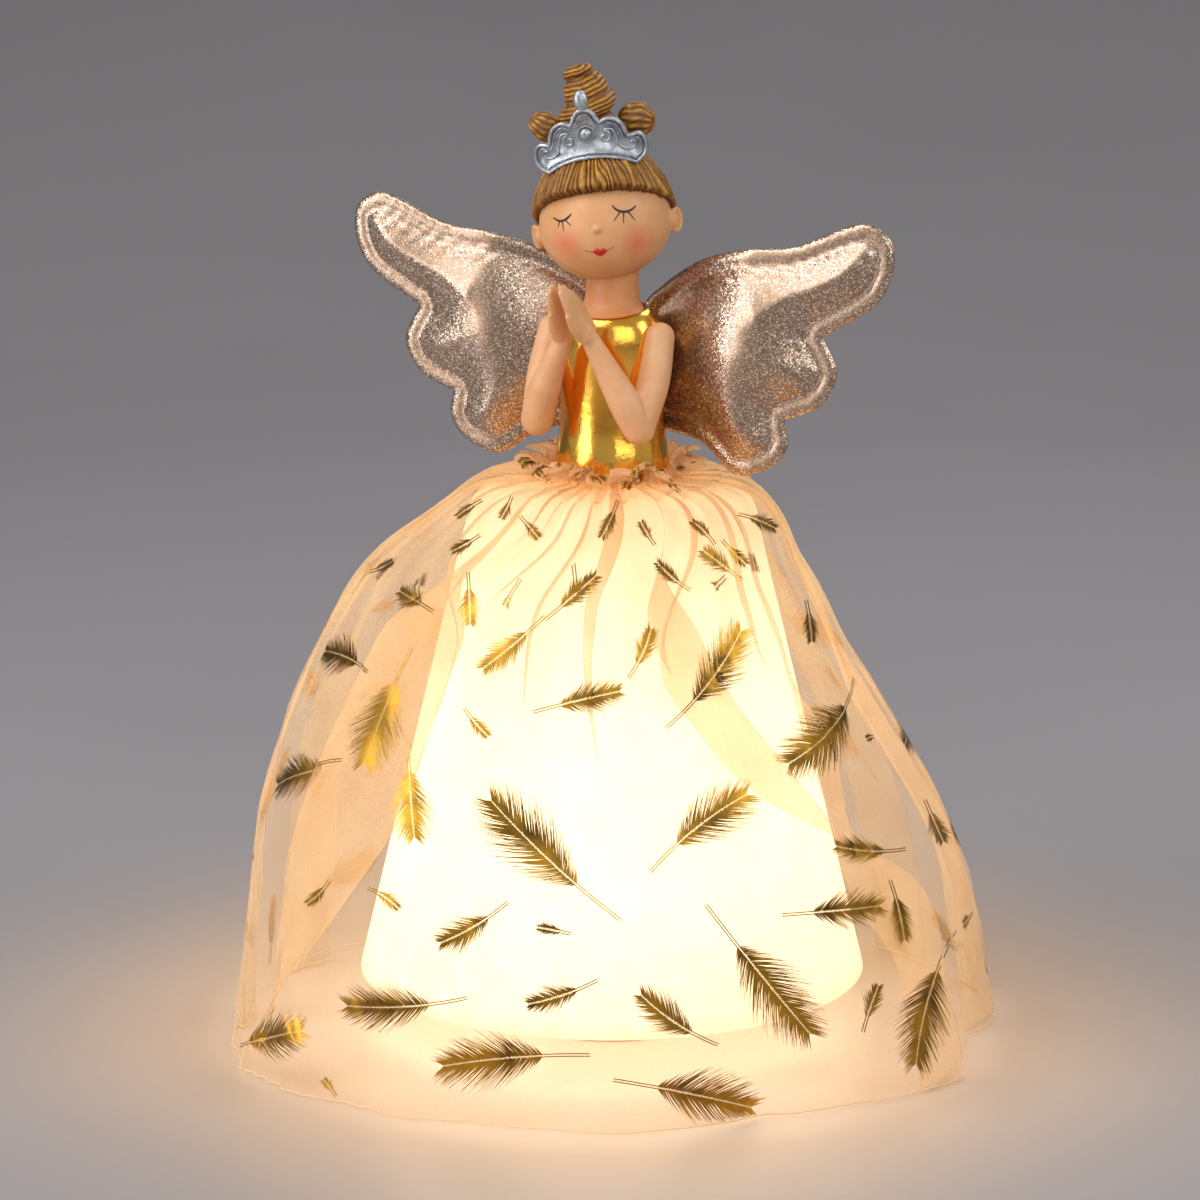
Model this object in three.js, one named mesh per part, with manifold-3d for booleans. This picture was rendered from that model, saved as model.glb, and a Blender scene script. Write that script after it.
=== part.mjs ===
// Light-up angel tree topper: a frosted bell lamp with a tree socket under it, a praying figure on top
// and a gathered organza overskirt. Millimetres, +Z up, the figure faces -Y and the part stands on Z = 0.
import * as THREE from 'three';
import { mergeVertices } from 'three/addons/utils/BufferGeometryUtils.js';
import { TessellateModifier } from 'three/addons/modifiers/TessellateModifier.js';
import Module from 'manifold-3d';

const wasm = await Module();
wasm.setup();

// Fits shared by all pieces
const seatGap = 0.3; // between pieces that rest on, or are glued to, each other
const slideGap = 0.4; // round pieces that move
const throughCut = 2; // how far a cutter runs past the face that it opens
const sameSpot = 1e-3; // points nearer than this are one point

// Frosted bell diffuser
const rimHeight = 18; // its lower edge above the table
const diffuserHeight = 154;
const diffuserRimRadius = 79;
const diffuserShoulderRadius = 45;
const diffuserCornerRadius = 12;
const diffuserWall = 1.8;
const diffuserSides = 30;

// Base plate that closes the diffuser
const plateThickness = 2.4;
const plateRecess = 0.6; // plate's underside above the diffuser's edge
const baseScrewCount = 3;
const baseScrewInset = 9; // from the plate's edge
const baseScrewRadius = 1.4;
const baseScrewGrip = 8; // thread in the diffuser's boss
const baseBossRadius = 5;
const screwHeadHeight = 2;
const screwHeadGrowth = 1.6; // head radius beyond the shank's
const screwCrossWidth = 0.7;
const screwCrossDepth = 0.8;

// Tree socket, which is also the foot
const socketMouthRadius = 14.6; // bore where the tree's tip goes in
const socketTipRadius = 8; // bore at its closed end
const socketDepth = 112;
const socketStraight = 28; // length of the bore before it tapers
const socketWall = 1.6;
const footRadius = 27;
const footThickness = 2.4;
const collarWidth = 4; // step that the base plate rests on
const socketSides = 16;
const socketNutHeight = 5;
const socketNutWall = 4.4;

// Battery bay: three AAA cells side by side
const cellCount = 3;
const cellRadius = 5.25;
const cellLength = 43.5;
const cellTipRadius = 1.9;
const cellTipLength = 1;
const cellGap = 0.5;
const bayWall = 1.8;
const bayInset = 2.8; // from the foot's edge to the cells' room
const springLength = 4.2;
const springTurns = 2.5;
const springWire = 0.35; // wire radius
const springWideRadius = 3.4;
const springNarrowRadius = 2.3;
const contactThickness = 0.5;
const contactWidth = 7.6;
const contactTabWidth = 2.4;
const contactTabRise = 2.4; // above the bay's ceiling

// Battery door, on a pin hinge with one screw
const doorThickness = 1.6;
const doorLip = 1.6; // door beyond the bay's opening
const doorScrewTongue = 8.5; // door beyond the bay on the screw's side
const doorScrewRadius = 1.2;
const doorScrewGrip = 3;
const doorScrewPlay = 0.7; // round the shank, which swings out with the door
const doorBossWall = 1.4;
const hingePinRadius = 0.8;
const hingeBarrelRadius = 2;
const hingeDrop = 1.3; // hinge axis below the plate
const hingeLugWidth = 3;

// Slide switch
const switchDistance = 46; // from the axis, towards the front
const switchLength = 14;
const switchWidth = 7;
const switchHeight = 6;
const switchTravel = 4;
const knobLength = 4.4;
const knobWidth = 3.2;
const knobStandOut = 2.4; // below the plate
const knobReach = 2.6; // above the plate, inside the switch

// Lamps
const boardHeight = 50; // above the base plate
const boardThickness = 1.6;
const boardRadius = 30;
const boardCollarWidth = 2; // step on the socket that carries the board
const boardCollarHeight = 3;
const ledCount = 8;
const ledRadius = 2.5;
const ledLength = 6.2;
const ledFlange = 0.5;
const ledFlangeHeight = 1;
const ledInset = 7; // from the board's edge
const leadRadius = 0.7;

// Figure: bodice, neck and the screw that holds them on the diffuser
const bodiceHeight = 55;
const bodiceWaistRadius = 18.6;
const bodiceMidRadius = 16.4;
const bodiceChestRadius = 17.2;
const bodiceNeckRadius = 10.4;
const bodiceWall = 1.6;
const bodiceDepthRatio = 0.84; // front to back against side to side
const neckRadius = 8.6;
const necklineTilt = 0.3; // radians, lower in front
const stemRadius = 6;
const figureScrewRadius = 1.7;
const figureScrewGrip = 12;
const washerRadius = 7;
const washerThickness = 1.3;

// Arms in prayer; lengths are between joint centres
const shoulderDrop = 7; // below the bodice's top
const shoulderReach = 20.4;
const shoulderForward = 4;
const elbowReach = 17.2;
const elbowForward = 16.5;
const elbowDrop = 27;
const wristReach = 4.6;
const wristForward = 23.5;
const wristDrop = 0; // below the shoulder
const fingerForward = 37.5;
const fingerRise = 17.5; // above the wrist
const shoulderRadius = 6.2;
const elbowRadius = 5.2;
const wristRadius = 3.4;
const handWidth = 9;
const handThickness = 4;
const shoulderPegRadius = 2.2;
const shoulderPegLength = 13;

// Head
const headRise = 24.5; // its centre above the bodice's top
const headSide = -1.8;
const headForward = 1;
const headYaw = 20; // degrees, towards the figure's left
const headRoll = -8; // degrees, towards the figure's right
const headNod = 4; // degrees, down
const headWidthRadius = 20.6;
const headDepthRadius = 20;
const headHeightRadius = 20;
const headWall = 2.6;
const earRadius = 4.6;
const earStandOut = 2.4;
const noseRadius = 1.5;

// Hair and tiara
const hairThickness = 1.9;
const hairCrown = 4.4; // extra height of the hair on the crown
const fringeHeight = 10.5; // fringe's lower edge above the head's centre
const napeDrop = 12; // hair's lower edge behind, below the head's centre
const bunHeight = 48.4; // top of the bun above the head's centre
const bunBaseRadius = 12.6;
const bunTipRadius = 4.6;
const bunTwistTurns = 1.5;
const bunStrands = 3;
const bunStrandDepth = 0.11; // share of the bun's radius
const sideBunRadius = 5.6;
const sideBunReach = 13.8;
const sideBunRise = 29;
const tiaraThickness = 1.6;
const tiaraHalfWidth = 17.3;
const tiaraBandHeight = 12; // from the lower edge's middle to the upper lobes' top
const tiaraPeak = 2.8; // centre point above the lobes
const tiaraArch = 3.7; // middle of the lower edge above its ends
const tiaraRise = 19.7; // middle of the lower edge above the head's centre
const tiaraForward = 16.4; // front of the band before the head's axis
const tiaraSweep = 5; // how far the ends lie behind the middle
const finialRadius = 2.4;
const finialLength = 5.4; // above the centre point

// Padded wings
const wingSpan = 186;
const wingTop = 29; // above the bodice's top
const wingTipRise = 21; // foremost point of the tip above the bodice's top
const wingBottom = 50; // below the bodice's top
const wingRootGap = 1.6; // between the two wings at the back
const wingUpperNotch = 5.5; // below the bodice's top
const wingLowerNotch = 32; // below the bodice's top
const wingNotchIn = 24; // upper notch inside the tip
const wingMidLobeOut = 4.5; // middle lobe beyond its upper notch
const wingLowerLobeIn = 36; // lower lobe inside the tip
const wingSeam = 5; // stitching inside the edge
const wingEdgeThickness = 1.8;
const wingSeamThickness = 1.4;
const wingPadding = 11; // greatest thickness
const wingPaddingRun = 15; // from the seam to full thickness
const wingSweep = 13; // how far forward of the root the tips stand
const wingSweepRun = 46; // distance from the axis over which they come forward
const wingFacet = 12; // longest edge of a facet

// Organza overskirt and its elastic
const skirtThickness = 0.9;
const gatherRadius = 21;
const gatherHeight = 4.6; // elastic's middle above the diffuser's top
const ruffleHeight = 5; // above the elastic
const ruffleFlare = 4;
const elasticRadius = 1;
const shoulderStandOff = 4; // skirt outside the diffuser's shoulder
const upperBellRadius = 66;
const upperBellDrop = 26; // below the diffuser's top
const middleBellRadius = 91;
const middleBellDrop = 76;
const lowerBellRadius = 108;
const lowerBellDrop = 120;
const hemRadius = 113.5;
const hemHeight = 1.2; // above the table
const foldCount = 8; // a multiple of four
const foldDepth = 7; // at the hem
const skirtColumns = 48;
const skirtRows = 10;

// Heights that follow from the sizes above
const diffuserTop = rimHeight + diffuserHeight;
const plateBottom = rimHeight + plateRecess;
const plateTop = plateBottom + plateThickness;
const boardBottom = plateTop + boardHeight;
const boardTop = boardBottom + boardThickness;
const figureSeat = diffuserTop + seatGap;
const bodiceTop = figureSeat + bodiceHeight;
const shoulderHeight = bodiceTop - shoulderDrop;
const headHeight = bodiceTop + headRise;

// Solid helpers

/** Merges shared points, drops empty triangles and turns the faces outwards. */
function closedMesh(geometry) {
  const bare = new THREE.BufferGeometry();
  bare.setAttribute('position', geometry.getAttribute('position').clone());
  bare.setIndex(geometry.getIndex());
  const merged = mergeVertices(bare, sameSpot / 10);
  const points = merged.getAttribute('position');
  const index = merged.getIndex().array;
  const kept = [];
  let volume = 0;
  const [a, b, c] = [new THREE.Vector3(), new THREE.Vector3(), new THREE.Vector3()];
  for (let i = 0; i < index.length; i += 3) {
    const [p, q, r] = [index[i], index[i + 1], index[i + 2]];
    if (p === q || q === r || r === p) continue;
    kept.push(p, q, r);
    a.fromBufferAttribute(points, p);
    b.fromBufferAttribute(points, q);
    c.fromBufferAttribute(points, r);
    volume += a.dot(b.cross(c));
  }
  merged.setIndex(volume < 0 ? kept.reverse() : kept);
  return merged;
}

function solidOf(geometry) {
  const mesh = closedMesh(geometry);
  const vertProperties = Float32Array.from(mesh.getAttribute('position').array);
  const triVerts = Uint32Array.from(mesh.getIndex().array);
  return new wasm.Manifold(new wasm.Mesh({ numProp: 3, vertProperties, triVerts }));
}

function geometryOf(solid) {
  const mesh = solid.getMesh();
  const geometry = new THREE.BufferGeometry();
  geometry.setAttribute('position', new THREE.BufferAttribute(Float32Array.from(mesh.vertProperties), 3));
  geometry.setIndex(Array.from(mesh.triVerts));
  return geometry;
}

function cut(body, ...tools) {
  return geometryOf(tools.reduce((left, tool) => left.subtract(solidOf(tool)), solidOf(body)));
}

function join(...pieces) {
  return geometryOf(pieces.slice(1).reduce((sum, piece) => sum.add(solidOf(piece)), solidOf(pieces[0])));
}

function overlap(first, second) {
  return geometryOf(solidOf(first).intersect(solidOf(second)));
}

/** A turned piece about Z from [radius, height] points; the profile is closed unless it ends on the axis. */
function turned(profile, sides = 32) {
  const points = profile.map(([radius, height]) => new THREE.Vector2(radius, height));
  const [first, last] = [points[0], points.at(-1)];
  if (first.x > 0 || last.x > 0) points.push(first.clone());
  return closedMesh(new THREE.LatheGeometry(points, sides).rotateX(Math.PI / 2));
}

function disc(radius, bottom, top, sides = 24) {
  return turned([[0, bottom], [radius, bottom], [radius, top], [0, top]], sides);
}

/** An upright round post or hole centred on x, y. */
function post(radius, x, y, bottom, top, sides = 12) {
  return disc(radius, bottom, top, sides).translate(x, y, 0);
}

function block(xRange, yRange, zRange) {
  const size = [xRange, yRange, zRange].map(([low, high]) => high - low);
  const middle = [xRange, yRange, zRange].map(([low, high]) => (low + high) / 2);
  return closedMesh(new THREE.BoxGeometry(...size).translate(...middle));
}

/** Points in the same number on each ring, skinned and capped at both ends. */
function skinned(rings) {
  const count = rings[0].length;
  const positions = rings.flat().flatMap((point) => [point.x, point.y, point.z]);
  const index = [];
  for (let ring = 0; ring + 1 < rings.length; ring += 1) {
    for (let i = 0; i < count; i += 1) {
      const j = (i + 1) % count;
      const [low, next] = [ring * count, (ring + 1) * count];
      index.push(low + i, low + j, next + j, low + i, next + j, next + i);
    }
  }
  for (const [ring, flipped] of [[0, true], [rings.length - 1, false]]) {
    const middle = rings[ring].reduce((sum, point) => sum.add(point), new THREE.Vector3());
    middle.divideScalar(count);
    const hub = positions.length / 3;
    positions.push(middle.x, middle.y, middle.z);
    for (let i = 0; i < count; i += 1) {
      const [p, q] = [ring * count + i, ring * count + ((i + 1) % count)];
      index.push(hub, flipped ? q : p, flipped ? p : q);
    }
  }
  const geometry = new THREE.BufferGeometry();
  geometry.setAttribute('position', new THREE.Float32BufferAttribute(positions, 3));
  geometry.setIndex(index);
  return closedMesh(geometry);
}

function ellipsoid(xRadius, yRadius, zRadius, columns = 24, rows = 16) {
  const ball = new THREE.SphereGeometry(1, columns, rows).rotateX(Math.PI / 2);
  return closedMesh(ball.scale(xRadius, yRadius, zRadius));
}

/** A limb between two points, with a round end of its own radius at each. */
function limb(start, end, startRadius, endRadius, sides = 9) {
  const length = start.distanceTo(end);
  const profile = [[0, -startRadius]];
  for (const share of [1 / 3, 2 / 3, 1]) {
    const angle = share * Math.PI / 2;
    profile.push([startRadius * Math.sin(angle), -startRadius * Math.cos(angle)]);
  }
  for (const share of [0, 1 / 3, 2 / 3]) {
    const angle = share * Math.PI / 2;
    profile.push([endRadius * Math.cos(angle), length + endRadius * Math.sin(angle)]);
  }
  profile.push([0, length + endRadius]);
  const along = end.clone().sub(start).normalize();
  const turn = new THREE.Quaternion().setFromUnitVectors(new THREE.Vector3(0, 0, 1), along);
  return turned(profile, sides).applyQuaternion(turn).translate(start.x, start.y, start.z);
}

/** A round lead or wire along the points of a curve. */
function lead(points, radius, steps) {
  const section = new THREE.Shape().absarc(0, 0, radius, 0, 2 * Math.PI);
  const path = new THREE.CatmullRomCurve3(points.map((point) => new THREE.Vector3(...point)));
  const settings = { steps, curveSegments: 4, bevelEnabled: false, extrudePath: path };
  return closedMesh(new THREE.ExtrudeGeometry(section, settings));
}

/** A pan-head screw on Z with its head's upper face at zero and its shank upwards. */
function screw(radius, length) {
  const headRadius = radius + screwHeadGrowth;
  const body = turned([
    [0, -screwHeadHeight], [headRadius * 0.7, -screwHeadHeight], [headRadius, -screwHeadHeight * 0.5],
    [headRadius, 0], [radius, 0], [radius, length - radius], [radius * 0.3, length], [0, length],
  ], 12);
  const slotDepth = [-screwHeadHeight - throughCut, -screwHeadHeight + screwCrossDepth];
  const reach = [-headRadius * 0.6, headRadius * 0.6];
  const half = [-screwCrossWidth / 2, screwCrossWidth / 2];
  return cut(body, block(reach, half, slotDepth), block(half, reach, slotDepth));
}

// Materials

function material(color, roughness, metalness = 0) {
  return new THREE.MeshStandardMaterial({ color, roughness, metalness });
}

const frosted = material(0xfff6e2, 0.45);
const whitePlastic = material(0xece7dc, 0.5);
const skinPaint = material(0xe6aa7d, 0.45);
const hairPaint = material(0x8c5528, 0.5);
const silverPaint = material(0xc8ccd0, 0.3, 0.8);
const goldPlate = material(0xc99a3a, 0.15, 1);
const glitterCloth = material(0xaa8773, 0.4, 0.3);
const organza = material(0xd8b48c, 0.6);
const elasticCord = material(0xe9dcc8, 0.8);
const steel = material(0x9a9da0, 0.3, 1);
const cellJacket = material(0x4a5560, 0.4, 0.4);
const boardGreen = material(0x2f6b46, 0.5);
const ledResin = material(0xffe9b8, 0.2);
const redLead = material(0xb3302a, 0.5);
const blackLead = material(0x222222, 0.5);
const blackPlastic = material(0x2a2a2c, 0.5);

const topper = new THREE.Group();

function add(name, geometry, finish, parent = topper) {
  const mesh = new THREE.Mesh(geometry, finish);
  mesh.name = name;
  parent.add(mesh);
  return mesh;
}

// Diffuser: a cone with a rounded shoulder and a flat top, open below

const coneRun = diffuserHeight - diffuserCornerRadius;
const coneSlope = (diffuserRimRadius - diffuserShoulderRadius) / coneRun;

function diffuserRadiusAt(height) {
  return diffuserRimRadius - coneSlope * (height - rimHeight);
}

/** Outer or inner face of the diffuser, from the rim to the middle of its top. */
function diffuserFace(inset, rim) {
  const profile = [[diffuserRadiusAt(rim) - inset, rim]];
  const centreRadius = diffuserShoulderRadius - diffuserCornerRadius;
  const radius = diffuserCornerRadius - inset;
  const steps = 4;
  for (let i = 0; i <= steps; i += 1) {
    const angle = (i / steps) * Math.PI / 2;
    profile.push([centreRadius + radius * Math.cos(angle), rimHeight + coneRun + radius * Math.sin(angle)]);
  }
  return profile;
}

const plateRadius = diffuserRadiusAt(plateTop) - diffuserWall - seatGap;
const baseScrewCircle = plateRadius - baseScrewInset;
const baseBossBottom = plateTop + seatGap;
const baseBossTop = baseBossBottom + baseScrewGrip + diffuserWall;
const firstBaseScrew = Math.PI / 6; // angle from +X, clear of the battery bay
const baseScrewAngles = Array.from({ length: baseScrewCount }, (_, i) => (
  firstBaseScrew + (i * 2 * Math.PI) / baseScrewCount
));
const baseScrewSpots = baseScrewAngles.map((angle) => [
  baseScrewCircle * Math.cos(angle),
  baseScrewCircle * Math.sin(angle),
]);

function makeDiffuser() {
  const outer = diffuserFace(0, rimHeight);
  const inner = diffuserFace(diffuserWall, rimHeight).reverse();
  const shell = turned([
    ...outer, [figureScrewRadius + slideGap, diffuserTop],
    [figureScrewRadius + slideGap, diffuserTop - diffuserWall], ...inner,
  ], diffuserSides);
  const filled = turned([[0, rimHeight], ...outer, [0, diffuserTop]], diffuserSides);
  const bosses = baseScrewAngles.map((angle, i) => {
    const [x, y] = baseScrewSpots[i];
    const web = block(
      [0, baseScrewInset + diffuserWall],
      [-diffuserWall / 2, diffuserWall / 2],
      [baseBossBottom, baseBossTop],
    );
    web.rotateZ(angle).translate(x, y, 0);
    return overlap(join(post(baseBossRadius, x, y, baseBossBottom, baseBossTop), web), filled);
  });
  const holes = baseScrewSpots.map(([x, y]) => (
    post(baseScrewRadius + seatGap, x, y, baseBossBottom - throughCut, baseBossTop - diffuserWall / 2)
  ));
  return cut(join(shell, ...bosses), ...holes);
}

add('diffuser', makeDiffuser(), frosted);

// Battery bay, laid out behind the socket with the cells along X

const cellPitch = 2 * cellRadius + cellGap;
const bayFront = footRadius + bayInset;
const bayDepth = cellCount * cellPitch + cellGap;
const bayBack = bayFront + bayDepth;
const contactRoom = contactThickness + seatGap;
const bayLength = cellLength + cellTipLength + springLength + 3 * seatGap + 2 * contactRoom;
const bayEnd = bayLength / 2;
const doorTopHeight = plateBottom + doorThickness;
const cellHeight = doorTopHeight + seatGap + cellGap + cellRadius;
const bayCeiling = cellHeight + cellRadius + cellGap;
const bayRoof = bayCeiling + bayWall;
const cellRows = Array.from({ length: cellCount }, (_, i) => (
  bayFront + cellGap + cellRadius + i * cellPitch
));
const doorX = [-bayEnd - doorLip, bayEnd + doorScrewTongue];
const doorY = [bayFront - doorLip, bayBack + doorLip];
const doorRecessTop = doorTopHeight + seatGap;
const doorScrewX = bayEnd + doorScrewTongue / 2 + bayWall / 2;
const doorScrewY = (bayFront + bayBack) / 2;
const doorScrewHole = doorScrewRadius + doorScrewPlay;
const hingeX = doorX[0] + hingePinRadius;
const hingeZ = plateBottom - hingeDrop;
const lugY = [
  [doorY[0] - slideGap - hingeLugWidth, doorY[0] - slideGap],
  [doorY[1] + slideGap, doorY[1] + slideGap + hingeLugWidth],
];

/** A rod or hole along Y through the hinge. */
function hingeRod(radius, [front, back], sides = 14) {
  const rod = new THREE.CylinderGeometry(radius, radius, back - front, sides);
  return closedMesh(rod.translate(hingeX, (front + back) / 2, hingeZ));
}

const pinEnds = [lugY[0][0], lugY[1][1]];
const pinHole = hingeRod(hingePinRadius + seatGap, [pinEnds[0] - throughCut, pinEnds[1] + throughCut]);

// Where each cell's spring sits: end -1 or +1 of the bay, turn about
const cellSpringEnds = cellRows.map((_, i) => (i % 2 === 0 ? -1 : 1));
const terminals = [
  { name: 'contact_negative', end: -1, rows: [0], tab: true },
  { name: 'contact_bridge_left', end: -1, rows: [1, cellCount - 1], tab: false },
  { name: 'contact_bridge_right', end: 1, rows: [0, 1], tab: false },
  { name: 'contact_positive', end: 1, rows: [cellCount - 1], tab: true },
];

function contactFace(end) {
  return end * (bayEnd - seatGap - contactThickness / 2);
}

const switchSlot = switchTravel + knobLength + 2 * slideGap;
const knobSlotY = [-switchDistance - knobWidth / 2 - slideGap, -switchDistance + knobWidth / 2 + slideGap];

function makeBasePlate() {
  const plate = turned([
    [socketOuterRadius + seatGap, plateBottom], [plateRadius, plateBottom],
    [plateRadius, plateTop], [socketOuterRadius + seatGap, plateTop],
  ], diffuserSides);
  const bay = block(
    [-bayEnd - bayWall, bayEnd + bayWall], [bayFront - bayWall, bayBack + bayWall], [plateBottom, bayRoof],
  );
  const bossRadius = doorScrewHole + doorBossWall;
  const bossTop = doorTopHeight + doorScrewGrip + 2 * doorBossWall;
  const boss = post(bossRadius, doorScrewX, doorScrewY, plateBottom, bossTop);
  const lugs = lugY.flatMap((range) => [
    hingeRod(hingeBarrelRadius, range),
    block(
      [hingeX - hingeBarrelRadius, hingeX + hingeBarrelRadius], range, [hingeZ, plateTop - bayWall / 2],
    ),
  ]);
  const hollow = block([-bayEnd, bayEnd], [bayFront, bayBack], [plateBottom - throughCut, bayCeiling]);
  const recess = block(
    [doorX[0] - slideGap - hingeBarrelRadius + hingePinRadius, doorX[1] + slideGap],
    [doorY[0] - slideGap, doorY[1] + slideGap], [plateBottom - hingeDrop - throughCut, doorRecessTop],
  );
  const bossHole = post(
    doorScrewHole, doorScrewX, doorScrewY, plateBottom - throughCut, bossTop - doorBossWall,
  );
  const screwHoles = baseScrewSpots.map(([x, y]) => (
    post(baseScrewRadius + seatGap, x, y, plateBottom - throughCut, plateTop + throughCut)
  ));
  const tabSlots = terminals.filter(({ tab }) => tab).map(({ end, rows }) => block(
    [contactFace(end) - contactRoom, contactFace(end) + contactRoom],
    [cellRows[rows[0]] - contactTabWidth / 2 - seatGap, cellRows[rows[0]] + contactTabWidth / 2 + seatGap],
    [bayCeiling - throughCut, bayRoof + throughCut],
  ));
  const knobSlot = block(
    [-switchSlot / 2, switchSlot / 2], knobSlotY, [plateBottom - throughCut, plateTop + throughCut],
  );
  const whole = join(plate, bay, boss, ...lugs);
  return cut(whole, hollow, recess, bossHole, pinHole, knobSlot, ...screwHoles, ...tabSlots);
}

function makeBatteryDoor() {
  const panel = block(doorX, doorY, [plateBottom, doorTopHeight]);
  const barrel = hingeRod(hingeBarrelRadius, doorY);
  const headRoom = block(
    [hingeX - hingeBarrelRadius - throughCut, hingeX + hingeBarrelRadius + throughCut], doorY,
    [doorTopHeight, hingeZ + 2 * hingeBarrelRadius],
  );
  const screwHole = post(
    doorScrewRadius + seatGap, doorScrewX, doorScrewY, plateBottom - throughCut, doorTopHeight + throughCut,
  );
  return cut(join(panel, barrel), headRoom, pinHole, screwHole);
}

// Tree socket: flared foot, a step for the plate, a tapering tube and a step for the lamp board

const socketOuterRadius = socketMouthRadius + socketWall;
const socketTop = socketDepth + socketWall;

function socketBoreAt(height) {
  const share = Math.max(0, height - socketStraight) / (socketDepth - socketStraight);
  return socketMouthRadius + (socketTipRadius - socketMouthRadius) * share;
}

function makeTreeSocket() {
  const seat = plateBottom - seatGap;
  const boardSeat = boardBottom - seatGap;
  const tubeAt = (height) => socketBoreAt(height) + socketWall;
  const boardCollar = tubeAt(boardSeat) + boardCollarWidth;
  const collar = socketOuterRadius + collarWidth;
  return turned([
    [0, socketDepth], [socketTipRadius, socketDepth], [socketMouthRadius, socketStraight],
    [socketMouthRadius, 0], [footRadius, 0], [footRadius, footThickness],
    [(footRadius + collar) / 2, footThickness * 2], [collar, footThickness * 3],
    [collar, seat], [socketOuterRadius, seat], [socketOuterRadius, socketStraight],
    [tubeAt(boardSeat - boardCollarHeight), boardSeat - boardCollarHeight],
    [boardCollar, boardSeat - boardCollarHeight / 2], [boardCollar, boardSeat],
    [tubeAt(boardSeat), boardSeat], [tubeAt(socketDepth), socketDepth],
    [socketTipRadius, socketTop], [0, socketTop],
  ], socketSides);
}

add('base_plate', makeBasePlate(), whitePlastic);
add('tree_socket', makeTreeSocket(), whitePlastic);
const nutBottom = plateTop + seatGap;
const nutTop = nutBottom + socketNutHeight;
add('socket_nut', turned([
  [socketOuterRadius + seatGap, nutBottom], [socketOuterRadius + socketNutWall, nutBottom],
  [socketOuterRadius + socketNutWall, nutTop], [socketOuterRadius + seatGap, nutTop],
], socketSides), whitePlastic);

const baseScrewLength = seatGap + plateThickness + seatGap + baseScrewGrip;
baseScrewSpots.forEach(([x, y], i) => {
  const geometry = screw(baseScrewRadius, baseScrewLength).translate(x, y, plateBottom - seatGap);
  add(`base_screw_${i + 1}`, geometry, steel);
});

add('battery_door', makeBatteryDoor(), whitePlastic);
add('door_hinge_pin', hingeRod(hingePinRadius, pinEnds), steel);
const doorScrewLength = seatGap + doorThickness + doorScrewGrip;
const doorScrew = screw(doorScrewRadius, doorScrewLength);
add('door_screw', doorScrew.translate(doorScrewX, doorScrewY, plateBottom - seatGap), steel);

// Cells, contacts and springs

/** A cell along X whose flat end lies towards the given end of the bay. */
function makeCell(springEnd, y) {
  const half = cellLength / 2;
  const cell = turned([
    [0, -half], [cellRadius, -half], [cellRadius, half], [cellTipRadius, half],
    [cellTipRadius, half + cellTipLength], [0, half + cellTipLength],
  ], 14).rotateY(-springEnd * Math.PI / 2);
  const flatEnd = bayEnd - contactRoom - 2 * seatGap - springLength;
  return cell.translate(springEnd * (flatEnd - half), y, cellHeight);
}

/** A conical contact spring along X as one unbroken wire; also gives its centre line. */
function makeSpring(springEnd, y) {
  const stepsPerTurn = 8;
  const sides = 5;
  const steps = springTurns * stepsPerTurn;
  const run = springLength - 2 * springWire;
  const start = bayEnd - contactRoom - seatGap - springWire;
  const line = [];
  const rings = [];
  for (let i = 0; i <= steps; i += 1) {
    const angle = (i / stepsPerTurn) * 2 * Math.PI;
    const radius = springWideRadius + (springNarrowRadius - springWideRadius) * (i / steps);
    const x = springEnd * (start - run * (i / steps));
    const outward = new THREE.Vector3(0, Math.cos(angle), Math.sin(angle));
    const centre = outward.clone().multiplyScalar(radius).add(new THREE.Vector3(x, y, cellHeight));
    line.push(centre);
    rings.push(Array.from({ length: sides }, (_, k) => {
      const turn = (k / sides) * 2 * Math.PI;
      const offset = outward.clone().multiplyScalar(springWire * Math.cos(turn));
      offset.x += springWire * Math.sin(turn);
      return centre.clone().add(offset);
    }));
  }
  return { geometry: skinned(rings), line, stepsPerTurn };
}

/** Least gap of a wound wire to its own other turns. */
function leastSelfGap(line, stepsPerTurn, wire) {
  let least = Infinity;
  line.forEach((point, i) => {
    line.slice(i + Math.ceil(stepsPerTurn / 2)).forEach((other) => {
      least = Math.min(least, point.distanceTo(other) - 2 * wire);
    });
  });
  return least;
}

function makeContact({ end, rows, tab }) {
  const low = cellRows[rows[0]] - contactWidth / 2;
  const high = cellRows[rows.at(-1)] + contactWidth / 2;
  const x = [contactFace(end) - contactThickness / 2, contactFace(end) + contactThickness / 2];
  const top = cellHeight + contactWidth / 2;
  const strip = block(x, [low, high], [cellHeight - contactWidth / 2, top]);
  if (!tab) return strip;
  const y = cellRows[rows[0]];
  const tongue = [y - contactTabWidth / 2, y + contactTabWidth / 2];
  return join(strip, block(x, tongue, [top - contactThickness, bayRoof + contactTabRise]));
}

cellRows.forEach((y, i) => {
  add(`cell_${i + 1}`, makeCell(cellSpringEnds[i], y), cellJacket);
  const spring = makeSpring(cellSpringEnds[i], y);
  add(`contact_spring_${i + 1}`, spring.geometry, steel);
  const gap = leastSelfGap(spring.line, spring.stepsPerTurn, springWire);
  console.log(`contact_spring_${i + 1} least gap to itself ${gap.toFixed(2)} mm`);
});
terminals.forEach((terminal) => add(terminal.name, makeContact(terminal), steel));

// Slide switch: its knob rests at the lit end of its travel

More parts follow.
